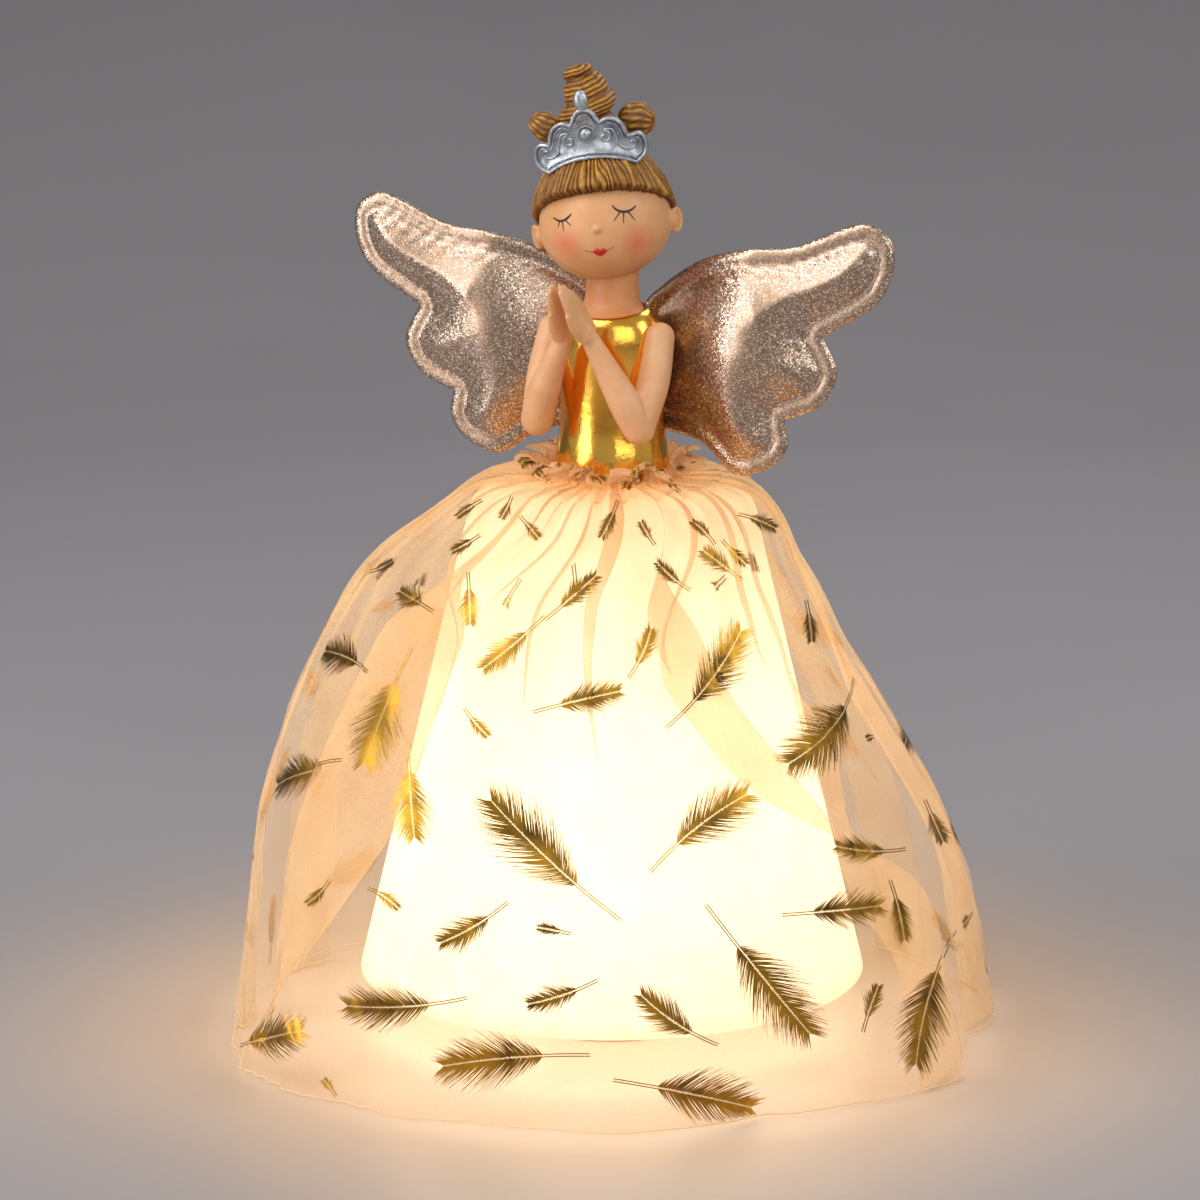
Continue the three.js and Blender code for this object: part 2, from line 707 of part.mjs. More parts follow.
const switchFloor = plateTop + seatGap;
const switchRoof = switchFloor + switchHeight;
const switchBox = block(
  [-switchLength / 2, switchLength / 2],
  [-switchDistance - switchWidth / 2, -switchDistance + switchWidth / 2], [switchFloor, switchRoof],
);
const switchChannel = block(
  [-switchSlot / 2, switchSlot / 2], knobSlotY, [switchFloor - throughCut, plateTop + knobReach + slideGap],
);
add('switch_body', cut(switchBox, switchChannel), blackPlastic);
const knobX = switchTravel / 2;
add('switch_knob', block(
  [knobX - knobLength / 2, knobX + knobLength / 2],
  [-switchDistance - knobWidth / 2, -switchDistance + knobWidth / 2],
  [plateBottom - knobStandOut, plateTop + knobReach],
), blackPlastic);

// Lamp board round the socket, its lamps and the leads

const boardBore = socketBoreAt(boardBottom) + socketWall + seatGap;
add('led_board', turned([
  [boardBore, boardBottom], [boardRadius, boardBottom], [boardRadius, boardTop], [boardBore, boardTop],
], 20), boardGreen);

for (let i = 0; i < ledCount; i += 1) {
  const angle = ((i + 0.5) * 2 * Math.PI) / ledCount;
  const radius = boardRadius - ledInset;
  const barrel = ledLength - ledRadius;
  const lamp = turned([
    [0, 0], [ledRadius + ledFlange, 0], [ledRadius + ledFlange, ledFlangeHeight],
    [ledRadius, ledFlangeHeight], [ledRadius, barrel], [ledRadius * 0.8, barrel + ledRadius * 0.6],
    [ledRadius * 0.4, barrel + ledRadius * 0.92], [0, ledLength],
  ], 8);
  lamp.translate(radius * Math.cos(angle), radius * Math.sin(angle), boardTop + seatGap);
  add(`led_${i + 1}`, lamp, ledResin);
}

const tabTop = bayRoof + contactTabRise + seatGap;
const leadEnd = boardBottom - seatGap;
const negativeTab = [contactFace(-1), cellRows[0]];
const positiveTab = [contactFace(1), cellRows[cellCount - 1]];
const switchPole = switchLength / 3;
const switchTop = switchRoof + seatGap;
const leadRise = 5; // straight run out of a joint
const boardPad = boardRadius * 0.82; // solder pads' distance from the axis

add('lead_negative', lead([
  [...negativeTab, tabTop], [...negativeTab, tabTop + leadRise],
  [-boardPad, boardPad * 0.7, leadEnd - 3 * leadRise],
  [-boardPad * 0.7, boardPad * 0.7, leadEnd - leadRise], [-boardPad * 0.7, boardPad * 0.7, leadEnd],
], leadRadius, 10), blackLead);
add('lead_positive', lead([
  [...positiveTab, tabTop], [...positiveTab, tabTop + leadRise],
  [baseScrewCircle * 0.72, bayFront * 0.6, tabTop + leadRise],
  [baseScrewCircle * 0.7, -bayFront * 0.3, tabTop],
  [switchPole + 2 * leadRise, -switchDistance, switchTop + 2 * leadRise],
  [switchPole, -switchDistance, switchTop + leadRise], [switchPole, -switchDistance, switchTop],
], leadRadius, 18), redLead);
add('lead_switched', lead([
  [-switchPole, -switchDistance, switchTop], [-switchPole, -switchDistance, switchTop + leadRise],
  [-switchPole, -(switchDistance + boardPad) / 2, leadEnd - 3 * leadRise],
  [-switchPole, -boardPad, leadEnd - leadRise], [-switchPole, -boardPad, leadEnd],
], leadRadius, 10), redLead);

// Figure: the screw and washer inside the diffuser, the neck on its stem and the gold bodice

const washerTop = diffuserTop - diffuserWall - seatGap;
add('figure_washer', turned([
  [figureScrewRadius + seatGap, washerTop - washerThickness], [washerRadius, washerTop - washerThickness],
  [washerRadius, washerTop], [figureScrewRadius + seatGap, washerTop],
], 12), steel);
const figureScrewSeat = washerTop - washerThickness - seatGap;
const figureScrewTop = figureSeat + figureScrewGrip;
const figureScrew = screw(figureScrewRadius, figureScrewTop - figureScrewSeat);
add('figure_screw', figureScrew.translate(0, 0, figureScrewSeat), steel);

/** The bodice's outer face, moved in or out by a wall or a gap; from its foot to its neck. */
function bodiceFace(offset) {
  const levels = [
    [0, bodiceWaistRadius], [0.16, bodiceWaistRadius * 0.97], [0.34, bodiceMidRadius],
    [0.56, bodiceMidRadius], [0.76, bodiceChestRadius], [0.87, bodiceChestRadius * 0.96],
    [0.95, bodiceChestRadius * 0.83], [1, bodiceNeckRadius],
  ];
  const lowered = Math.min(offset, 0);
  return levels.map(([share, radius]) => [radius + offset, figureSeat + share * bodiceHeight + lowered]);
}

function bodiceSolid(offset, foot, top) {
  const face = bodiceFace(offset);
  face[0][1] = foot;
  const shape = turned([[0, foot], ...face, [face.at(-1)[0], top], [0, top]], 18);
  return shape.scale(1, bodiceDepthRatio, 1);
}

const shoulderPegHoles = [-1, 1].map((side) => {
  const length = shoulderReach + throughCut;
  const radius = shoulderPegRadius + seatGap;
  const rod = new THREE.CylinderGeometry(radius, radius, length, 14);
  return closedMesh(rod.rotateZ(Math.PI / 2).translate(
    side * (shoulderReach - shoulderPegLength + length / 2 - seatGap), -shoulderForward, shoulderHeight,
  ));
});
const bodiceEnvelope = bodiceSolid(seatGap, figureSeat - throughCut, bodiceTop + seatGap);
const neckRoom = turned([
  [0, 0], [bodiceNeckRadius + seatGap, 0], [bodiceNeckRadius + 2 * bodiceWall, bodiceNeckRadius],
  [0, bodiceNeckRadius],
], 24).rotateX(necklineTilt).translate(0, -bodiceWall, bodiceTop - bodiceWall * 2);

function makeBodice() {
  const outer = bodiceSolid(0, figureSeat, bodiceTop);
  const inner = bodiceSolid(-bodiceWall, figureSeat - throughCut, bodiceTop + throughCut);
  return cut(outer, inner, neckRoom, ...shoulderPegHoles);
}

const neckTop = headHeight - headHeightRadius * 0.72;

function makeNeck() {
  const face = bodiceFace(-bodiceWall - seatGap).slice(-4);
  const lowest = face[0][1];
  const profile = [
    [0, figureSeat], [stemRadius, figureSeat], [stemRadius, lowest - stemRadius], [face[0][0], lowest],
    ...face.slice(1), [face.at(-1)[0], bodiceTop], [neckRadius, bodiceTop + neckRadius * 0.3],
    [neckRadius, neckTop], [0, neckTop],
  ];
  const screwHole = post(
    figureScrewRadius + seatGap, 0, 0, figureSeat - throughCut, figureScrewTop + throughCut,
  );
  return cut(turned(profile, 20).scale(1, bodiceDepthRatio, 1), screwHole, ...shoulderPegHoles);
}

add('neck', makeNeck(), skinPaint);
add('bodice', makeBodice(), goldPlate);

// Arms: upper arm, forearm and hand, cut clear of the bodice and of each other

function makeArm(side) {
  const place = (reach, forward, height) => new THREE.Vector3(side * reach, -forward, height);
  const shoulder = place(shoulderReach, shoulderForward, shoulderHeight);
  const elbow = place(elbowReach, elbowForward, shoulderHeight - elbowDrop);
  const wrist = place(wristReach, wristForward, shoulderHeight - wristDrop);
  const fingers = place(handThickness / 2, fingerForward, wrist.z + fingerRise);
  const along = fingers.clone().sub(wrist);
  const handHalf = along.length() / 2 + wristRadius;
  const tilt = Math.atan2(fingerForward - wristForward, fingerRise);
  const hand = ellipsoid(handThickness * 0.6, handWidth / 2, handHalf, 10, 6).rotateX(tilt);
  const palm = wrist.clone().lerp(fingers, 0.5);
  hand.translate(palm.x, palm.y, palm.z);
  const beyond = block(
    side > 0 ? [-shoulderReach, seatGap / 2] : [-seatGap / 2, shoulderReach],
    [-fingerForward * 2, 0], [elbow.z, fingers.z * 2],
  );
  const limbs = join(
    limb(shoulder, elbow, shoulderRadius, elbowRadius), limb(elbow, wrist, elbowRadius, wristRadius), hand,
  );
  const peg = new THREE.CylinderGeometry(shoulderPegRadius, shoulderPegRadius, shoulderPegLength, 14);
  const pegMiddle = side * (shoulderReach - shoulderPegLength / 2);
  peg.rotateZ(Math.PI / 2).translate(pegMiddle, -shoulderForward, shoulderHeight);
  return join(cut(limbs, bodiceEnvelope, beyond), peg);
}

add('arm_left', makeArm(1), skinPaint);
add('arm_right', makeArm(-1), skinPaint);

// Head, hair and tiara share a frame that is turned and tilted on the neck

const headGroup = new THREE.Group();
headGroup.position.set(headSide, -headForward, headHeight);
const headTurns = [headNod, headRoll, headYaw].map((degrees) => THREE.MathUtils.degToRad(degrees));
headGroup.rotation.set(...headTurns, 'ZYX');
headGroup.updateMatrix();
topper.add(headGroup);

function headBall(offset, columns = 20, rows = 12) {
  const radii = [headWidthRadius, headDepthRadius, headHeightRadius].map((radius) => radius + offset);
  return ellipsoid(...radii, columns, rows);
}

function ears(offset) {
  const radii = [earStandOut, earRadius * 0.75, earRadius].map((radius) => radius + offset);
  return [-1, 1].map((side) => (
    ellipsoid(...radii, 8, 6).translate(side * headWidthRadius, 0, -earRadius * 0.3)
  ));
}

function hairBall(offset) {
  const grow = hairThickness + offset;
  return ellipsoid(
    headWidthRadius + grow, headDepthRadius + grow, headHeightRadius + hairCrown + grow, 20, 12,
  );
}

function makeHead() {
  const nose = ellipsoid(noseRadius, noseRadius, noseRadius, 8, 6);
  nose.translate(0, -headDepthRadius, -earRadius * 0.8);
  const neckPlug = disc(neckRadius + seatGap, figureSeat, neckTop + seatGap, 20);
  neckPlug.scale(1, bodiceDepthRatio, 1);
  neckPlug.applyMatrix4(headGroup.matrix.clone().invert());
  return cut(join(headBall(0), nose, ...ears(0)), headBall(-headWall, 14, 10), neckPlug);
}

/** Everything below the hair's edge, which drops from the fringe to the nape. */
function belowHair() {
  const reach = 3 * headWidthRadius;
  const slope = Math.atan2(fringeHeight + napeDrop, 2 * headDepthRadius);
  const slab = block([-reach, reach], [-reach, reach], [-reach, 0]);
  return slab.rotateX(-slope).translate(0, -headDepthRadius, fringeHeight);
}

function bunRadiusAt(share) {
  const taper = bunBaseRadius + (bunTipRadius - bunBaseRadius) * share;
  return taper * Math.min(1, Math.sqrt(Math.max(0, 1 - share) * 6));
}

/** The twisted bun, from inside the hair to its tip. */
function bunSolid(offset) {
  const rows = 11;
  const columns = 20;
  const foot = headHeightRadius * 0.8;
  const rings = [];
  for (let row = 0; row < rows; row += 1) {
    const share = row / (rows - 0.7);
    const height = foot + (bunHeight - foot) * (row / (rows - 1));
    rings.push(Array.from({ length: columns }, (_, i) => {
      const angle = (i / columns) * 2 * Math.PI;
      const strand = Math.cos(bunStrands * (angle - share * bunTwistTurns * 2 * Math.PI / bunStrands));
      const radius = bunRadiusAt(share) * (1 + bunStrandDepth * strand) + offset;
      const lifted = height + offset * (row / rows);
      return new THREE.Vector3(radius * Math.cos(angle), radius * Math.sin(angle), lifted);
    }));
  }
  return skinned(rings);
}

const hairEnvelope = hairBall(seatGap);
const bunEnvelope = bunSolid(seatGap);

function makeSideBun(side) {
  const ball = ellipsoid(sideBunRadius * 1.1, sideBunRadius, sideBunRadius, 12, 8);
  return cut(ball.translate(side * sideBunReach, 0, sideBunRise), hairEnvelope, bunEnvelope);
}

/** The tiara's outline: an arched lower edge, two lobes a side and a centre point. */
function tiaraShape() {
  const tall = tiaraBandHeight;
  const peak = tiaraBandHeight + tiaraPeak;
  const right = [
    [1, tall * 0.1], [0.98, tall * 0.33], [0.88, tall * 0.5], [0.74, tall * 0.46],
    [0.67, tall * 0.68], [0.58, tall * 0.91], [0.44, tall], [0.28, tall * 0.94],
    [0.2, peak * 0.9], [0.1, peak],
  ].map(([share, height]) => new THREE.Vector2(share * tiaraHalfWidth, height));
  const left = right.map((point) => new THREE.Vector2(-point.x, point.y)).reverse();
  const tip = tiaraHalfWidth * 0.77;
  const shape = new THREE.Shape();
  shape.moveTo(-tip, -tiaraArch);
  shape.quadraticCurveTo(0, tiaraArch, tip, -tiaraArch);
  shape.splineThru(right);
  shape.lineTo(left[0].x, left[0].y);
  shape.splineThru(left.slice(1));
  shape.closePath();
  return shape;
}

function makeTiara() {
  const settings = { depth: tiaraThickness, bevelEnabled: false, curveSegments: 2, steps: 1 };
  const plate = closedMesh(new THREE.ExtrudeGeometry(tiaraShape(), settings).rotateX(Math.PI / 2));
  const drop = ellipsoid(finialRadius, tiaraThickness, finialLength * 0.6, 10, 8);
  drop.translate(0, -tiaraThickness / 2, tiaraBandHeight + tiaraPeak + finialLength * 0.4);
  const band = join(plate, drop);
  const points = band.getAttribute('position');
  for (let i = 0; i < points.count; i += 1) {
    const sweep = tiaraSweep * (points.getX(i) / tiaraHalfWidth) ** 2;
    points.setY(i, points.getY(i) - tiaraForward + tiaraThickness + sweep);
  }
  return cut(band.translate(0, 0, tiaraRise), hairEnvelope, bunEnvelope);
}

add('head', makeHead(), skinPaint, headGroup);
add('hair_cap', cut(hairBall(0), headBall(seatGap), belowHair(), ...ears(seatGap)), hairPaint, headGroup);
add('top_bun', cut(bunSolid(0), hairEnvelope), hairPaint, headGroup);
add('side_bun_left', makeSideBun(1), hairPaint, headGroup);
add('side_bun_right', makeSideBun(-1), hairPaint, headGroup);
add('tiara', makeTiara(), silverPaint, headGroup);

// Wings: a stitched border round a padded middle, swept forward from the back

function wingShape() {
  const tip = wingSpan / 2;
  const root = wingRootGap / 2 + wingSeam;
  const notch = tip - wingNotchIn;
  const lobe = notch + wingMidLobeOut;
  const lower = tip - wingLowerLobeIn;
  const tall = wingTop;
  const shape = new THREE.Shape();
  const along = (...pairs) => pairs.map(([x, y]) => new THREE.Vector2(x, y));
  shape.moveTo(root, -wingBottom * 0.72);
  shape.splineThru(along(
    [root - wingSeam, -wingBottom * 0.6], [root - wingSeam, -wingBottom * 0.1],
    [root + wingSeam, tall * 0.2], [tip * 0.28, tall * 0.48],
    [tip * 0.46, tall * 0.65], [tip * 0.64, tall * 0.72], [tip * 0.8, tall * 0.93],
    [tip * 0.9, tall], [tip * 0.98, wingTipRise + (tall - wingTipRise) * 0.4],
    [tip * 0.985, wingTipRise * 0.7], [tip * 0.93, wingTipRise * 0.25],
    [notch + wingSeam, -wingUpperNotch * 0.55], [notch, -wingUpperNotch],
  ));
  shape.splineThru(along(
    [lobe, -wingUpperNotch - (wingLowerNotch - wingUpperNotch) * 0.42],
    [lobe - wingSeam, -wingLowerNotch + wingSeam], [lower, -wingLowerNotch],
  ));
  shape.splineThru(along(
    [lower + wingSeam * 0.2, -wingLowerNotch - wingSeam * 1.6],
    [lower - wingSeam, -wingBottom + wingSeam * 0.6], [lower - wingSeam * 3.4, -wingBottom],
    [lower - wingSeam * 6, -wingBottom * 0.84], [root, -wingBottom * 0.72],
  ));
  return shape;
}

/** The wing's outline as points in anticlockwise order, without a repeat at the end. */
function wingOutline() {
  return wingShape().getSpacedPoints(56).slice(1).reverse();
}

/** Each point of a closed anticlockwise outline moved inwards along its own normal. */
function insetOutline(points, distance) {
  return points.map((point, i) => {
    const before = points[(i + points.length - 1) % points.length];
    const after = points[(i + 1) % points.length];
    const along = after.clone().sub(before).normalize();
    return new THREE.Vector2(point.x - along.y * distance, point.y + along.x * distance);
  });
}

function distanceToOutline(x, y, outline) {
  let least = Infinity;
  outline.forEach((start, i) => {
    const end = outline[(i + 1) % outline.length];
    const [dx, dy] = [end.x - start.x, end.y - start.y];
    const share = ((x - start.x) * dx + (y - start.y) * dy) / (dx * dx + dy * dy);
    const held = THREE.MathUtils.clamp(share, 0, 1);
    least = Math.min(least, Math.hypot(x - start.x - held * dx, y - start.y - held * dy));
  });
  return least;
}

/** Half the wing's thickness at a distance inside the seam. */
function paddingAt(distance) {
  const share = Math.min(1, Math.max(0, distance - sameSpot) / wingPaddingRun);
  return wingSeamThickness / 2 + (wingPadding - wingSeamThickness) / 2 * Math.sqrt(1 - (1 - share) ** 2);
}

/** Triangles of a flat shape between outline points, as [x, y] corners. */
function flatTriangles(outline, facet) {
  const flat = new THREE.ShapeGeometry(new THREE.Shape(outline)).toNonIndexed();
  const fine = new TessellateModifier(facet, 12).modify(flat).getAttribute('position');
  return Array.from({ length: fine.count }, (_, i) => [fine.getX(i), fine.getY(i)]);
}

/** The wing's edge and its seam, point for point, in single precision, with no step longer than a facet. */
function wingEdgeAndSeam() {
  const outline = wingOutline();
  const inset = insetOutline(outline, wingSeam);
  const edge = [];
  const seam = [];
  outline.forEach((point, i) => {
    const next = (i + 1) % outline.length;
    const pieces = Math.ceil(inset[i].distanceTo(inset[next]) / wingFacet);
    for (let k = 0; k < pieces; k += 1) {
      edge.push(point.clone().lerp(outline[next], k / pieces));
      const sewn = inset[i].clone().lerp(inset[next], k / pieces);
      seam.push(new THREE.Vector2(Math.fround(sewn.x), Math.fround(sewn.y)));
    }
  });
  return { edge, seam };
}

function makeWing(side) {
  const { edge, seam } = wingEdgeAndSeam();
  const corners = flatTriangles(seam, wingFacet).map(([x, y]) => (
    [x, y, paddingAt(distanceToOutline(x, y, seam))]
  ));
  const edgeHalf = wingEdgeThickness / 2;
  const seamHalf = wingSeamThickness / 2;
  const sewn = (point) => [point.x, point.y, seamHalf];
  const rim = (point) => [point.x, point.y, edgeHalf];
  const positions = [];
  const place = ([x, y, half], face) => {
    const reach = THREE.MathUtils.smoothstep(x, 0, wingSweepRun);
    positions.push(side * x, wingRootDepth - wingSweep * reach - face * half, bodiceTop + y);
  };
  const front = [...corners];
  edge.forEach((point, i) => {
    const next = (i + 1) % edge.length;
    front.push(rim(point), rim(edge[next]), sewn(seam[next]), rim(point), sewn(seam[next]), sewn(seam[i]));
  });
  for (let i = 0; i < front.length; i += 3) {
    [0, 1, 2].forEach((k) => place(front[i + k], 1));
    [2, 1, 0].forEach((k) => place(front[i + k], -1));
  }
  edge.forEach((point, i) => {
    const next = edge[(i + 1) % edge.length];
    [[point, 1], [point, -1], [next, -1], [point, 1], [next, -1], [next, 1]].forEach(([corner, face]) => {
      place(rim(corner), face);
    });
  });
  const geometry = new THREE.BufferGeometry();
  geometry.setAttribute('position', new THREE.Float32BufferAttribute(positions, 3));
  const half = wingRootGap / 2;
  const otherSide = block(
    side > 0 ? [-wingSpan, half] : [-half, wingSpan], [-wingSpan, wingSpan],
    [bodiceTop - wingSpan, bodiceTop + wingSpan],
  );
  return cut(closedMesh(geometry), bodiceEnvelope, otherSide);
}

const wingRootDepth = bodiceMidRadius * bodiceDepthRatio + wingEdgeThickness;
add('wing_left', makeWing(1), glitterCloth);
add('wing_right', makeWing(-1), glitterCloth);

// Overskirt: a frill, a gather and a bell that falls in folds to the hem

const gatherMiddle = diffuserTop + gatherHeight;
const skirtLift = seatGap + skirtThickness / 2;
const skirtProfile = new THREE.SplineCurve([
  [gatherRadius + ruffleFlare, gatherMiddle + ruffleHeight],
  [gatherRadius, gatherMiddle + 2 * elasticRadius],
  [gatherRadius, gatherMiddle - 2 * elasticRadius],
  [diffuserShoulderRadius - diffuserCornerRadius, diffuserTop + skirtLift],
  [diffuserShoulderRadius + shoulderStandOff, diffuserTop - shoulderStandOff],
  [upperBellRadius, diffuserTop - upperBellDrop],
  [middleBellRadius, diffuserTop - middleBellDrop],
  [lowerBellRadius, diffuserTop - lowerBellDrop],
  [hemRadius, hemHeight],
].map(([radius, height]) => new THREE.Vector2(radius, height)));
const gatherShare = 3 / 8; // share of the profile's points that lie above the diffuser's shoulder

/** Folds round the skirt: regular at the four quarter points, so that it reaches equally far on all sides. */
function foldAt(angle) {
  const uneven = Math.sin(2 * angle) ** 2;
  const wander = 0.45 * Math.cos(5 * angle + 1.1) + 0.35 * Math.cos(11 * angle + 2.3);
  return 0.55 * Math.cos(foldCount * angle) + uneven * wander;
}

function skirtPoint(angle, share) {
  const { x: radius, y: height } = skirtProfile.getPoint(share);
  const fall = Math.max(0, share - gatherShare) / (1 - gatherShare);
  const outward = radius + foldDepth * fall * foldAt(angle);
  return new THREE.Vector3(outward * Math.cos(angle), outward * Math.sin(angle), height);
}

/** A point on the skirt's outer (+1) or inner (-1) face. */
function skirtFace(angle, share, face) {
  const step = 1e-3;
  const high = Math.min(1, share + step);
  const low = Math.max(0, share - step);
  const across = skirtPoint(angle + step, share).sub(skirtPoint(angle - step, share));
  const down = skirtPoint(angle, high).sub(skirtPoint(angle, low));
  const normal = down.cross(across).normalize();
  return skirtPoint(angle, share).addScaledVector(normal, face * skirtThickness / 2);
}

function makeOverskirt() {
  const loop = [
    ...Array.from({ length: skirtRows + 1 }, (_, row) => [row / skirtRows, 1]),
    ...Array.from({ length: skirtRows + 1 }, (_, row) => [1 - row / skirtRows, -1]),
  ];
  const positions = [];
  const index = [];
  for (let column = 0; column < skirtColumns; column += 1) {
    const angle = (column / skirtColumns) * 2 * Math.PI;
    loop.forEach(([share, face]) => positions.push(...skirtFace(angle, share, face)));
    const [here, next] = [column * loop.length, ((column + 1) % skirtColumns) * loop.length];
    loop.forEach((_, row) => {
      const after = (row + 1) % loop.length;
      index.push(here + row, next + row, next + after, here + row, next + after, here + after);
    });
  }
  const geometry = new THREE.BufferGeometry();
  geometry.setAttribute('position', new THREE.Float32BufferAttribute(positions, 3));
  geometry.setIndex(index);
  return closedMesh(geometry);
}

add('overskirt', makeOverskirt(), organza);

const elasticMiddle = gatherRadius + skirtThickness / 2 + seatGap + elasticRadius;
const elasticRing = new THREE.TorusGeometry(elasticMiddle, elasticRadius, 6, 28);
add('waist_elastic', closedMesh(elasticRing.translate(0, 0, gatherMiddle)), elasticCord);

export default topper;
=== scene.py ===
"""Looks of a light-up angel tree topper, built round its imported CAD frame.

Sizes are in millimetres, apart from those that say metres.
"""

import functools
import logging
import math
from dataclasses import dataclass, field, replace
from enum import Enum
from typing import Iterable, Sequence

import bpy
import numpy as np
from mathutils import Matrix, Vector
from mathutils.bvhtree import BVHTree
from mathutils.geometry import delaunay_2d_cdt


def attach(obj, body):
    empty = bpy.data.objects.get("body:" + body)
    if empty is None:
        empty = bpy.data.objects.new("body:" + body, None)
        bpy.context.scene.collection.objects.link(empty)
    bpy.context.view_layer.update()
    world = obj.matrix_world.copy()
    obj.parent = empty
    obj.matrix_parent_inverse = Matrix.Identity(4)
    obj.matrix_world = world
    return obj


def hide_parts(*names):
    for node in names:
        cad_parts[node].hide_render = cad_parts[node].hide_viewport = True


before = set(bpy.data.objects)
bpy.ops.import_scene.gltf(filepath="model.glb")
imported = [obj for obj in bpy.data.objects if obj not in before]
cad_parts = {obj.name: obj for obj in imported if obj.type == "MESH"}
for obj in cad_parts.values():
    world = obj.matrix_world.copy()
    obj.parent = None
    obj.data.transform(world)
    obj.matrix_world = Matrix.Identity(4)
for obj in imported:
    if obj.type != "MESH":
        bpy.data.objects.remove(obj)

LOG = logging.getLogger("topper")
MM = 0.001
SEED = 20
# The CAD body that the pieces made here move with
BODY = "topper"
# The mesh attribute that a finish reads
TRAIT = "trait"
# Points closer than this are welded before an edge is rounded
WELD = 0.01
# Finer layers of a cloudy pattern, and the values between which most of it lies
CLOUD_LAYERS = 4.0
CLOUD_RANGE = (0.3, 0.7)
Pair = tuple[float, float]
Triple = tuple[float, float, float]
# Across and down in the photograph's frame of 1200 by 1200 pixels
Pixel = tuple[float, float]
Stroke = tuple[Pixel, Pixel]
Line = tuple[Pair, ...]
Faces = list[tuple[int, ...]]
Array = np.ndarray
Random = np.random.Generator
Tree = bpy.types.NodeTree
Node = bpy.types.Node
Socket = bpy.types.NodeSocket


class Slot(Enum):
    """The record's material slots; the pieces made here don't take them."""

    FROSTED = "frosted_plastic"
    WHITE = "white_plastic"
    SKIN = "skin_paint"
    HAIR = "hair_paint"
    SILVER = "silver_paint"
    GOLD = "gold_plate"
    GLITTER = "glitter_cloth"
    ORGANZA = "organza"
    ELASTIC = "elastic"


class Side(Enum):
    """The figure's own left and right; its value is the sign of X."""

    LEFT = 1
    RIGHT = -1


def linear(code: str) -> tuple[float, float, float, float]:
    """Turns an sRGB hex colour into linear values.

    Args:
        code: Colour such as "#AA8773".

    Returns:
        Linear red, green and blue, and full opacity.
    """
    shares = [int(code[i:i + 2], 16) / 255 for i in (1, 3, 5)]
    red, green, blue = (c / 12.92 if c <= 0.04045 else ((c + 0.055) / 1.055) ** 2.4 for c in shares)
    return red, green, blue, 1.0


def smoothstep(value: Array | float, low: float, high: float) -> Array:
    """Rises smoothly from 0 where a value is low to 1 where it is high."""
    share = np.clip((np.asarray(value, float) - low) / (high - low), 0, 1)
    return share * share * (3 - 2 * share)


def directions(count: int) -> Array:
    """Gives evenly spaced directions round a circle, in radians."""
    return np.linspace(0, 2 * np.pi, count, endpoint=False)


def half_turn(angle: Array) -> Array:
    """Brings directions into the half turn on either side of 0, in radians."""
    return (angle + np.pi) % (2 * np.pi) - np.pi


def spline(points: Sequence[Sequence[float]], count: int, closed: bool = False) -> Array:
    """Runs an even Catmull-Rom curve through points.

    Args:
        points: Points of two or three coordinates.
        count: Points wanted, evenly spaced by length.
        closed: Whether the curve returns to its start.

    Returns:
        The curve's points, one row each.
    """
    given = np.asarray(points, float)
    if closed:
        padded = np.vstack([given[-1:], given, given[:2]])
    else:
        padded = np.vstack([2 * given[0] - given[1], given, 2 * given[-1] - given[-2]])
    steps = 24
    share = np.linspace(0, 1, steps, endpoint=False)[:, None]
    runs = []
    for before, start, end, after in zip(padded, padded[1:], padded[2:], padded[3:]):
        lead, trail = (end - before) / 2, (after - start) / 2
        cubic = 2 * (start - end) + lead + trail
        square = 3 * (end - start) - 2 * lead - trail
        runs.append(((cubic * share + square) * share + lead) * share + start)
    runs.append(padded[-2:-1])
    dense = np.vstack(runs)
    length = np.concatenate([[0], np.cumsum(np.linalg.norm(np.diff(dense, axis=0), axis=1))])
    wanted = np.linspace(0, length[-1], count, endpoint=not closed)
    return np.stack([np.interp(wanted, length, column) for column in dense.T], axis=1)


@dataclass
class Patch:
    """A piece of mesh.

    Attributes:
        points: One row of X, Y and Z for each point.
        faces: Point numbers round each face.
        trait: A share at each point that its finish reads, such as how raised or how covered it is.
    """

    points: Array
    faces: Faces
    trait: Array | None = None

    @classmethod
    def joined(cls, patches: Iterable["Patch"]) -> "Patch":
        """Puts several patches into one mesh.

        Args:
            patches: The patches.

        Returns:
            One patch of all their points and faces.
        """
        points, faces, traits, start = [], [], [], 0
        for patch in patches:
            points.append(patch.points)
            faces += [tuple(i + start for i in face) for face in patch.faces]
            traits.append(np.zeros(len(patch.points)) if patch.trait is None else patch.trait)
            start += len(patch.points)
        return cls(np.vstack(points), faces, np.concatenate(traits))

    def moved(self, matrix: Matrix) -> "Patch":
        """Gives the patch moved by a matrix whose shifts are in millimetres."""
        turn = np.array(matrix.to_3x3())
        return Patch(self.points @ turn.T + np.array(matrix.translation), self.faces, self.trait)


def grid(points: Array, wrap: bool = True, trait: Array | None = None) -> Patch:
    """Makes a mesh of quads from rows of points.

    Args:
        points: Rows by columns by three.
        wrap: Whether the last column joins the first.
        trait: A share at each point that its finish reads, rows by columns.

    Returns:
        The mesh.
    """
    rows, columns = points.shape[:2]
    last = columns if wrap else columns - 1
    faces = []
    for row in range(rows - 1):
        for column in range(last):
            after = (column + 1) % columns
            low, high = row * columns, (row + 1) * columns
            faces.append((low + column, low + after, high + after, high + column))
    return Patch(points.reshape(-1, 3), faces, None if trait is None else trait.reshape(-1))


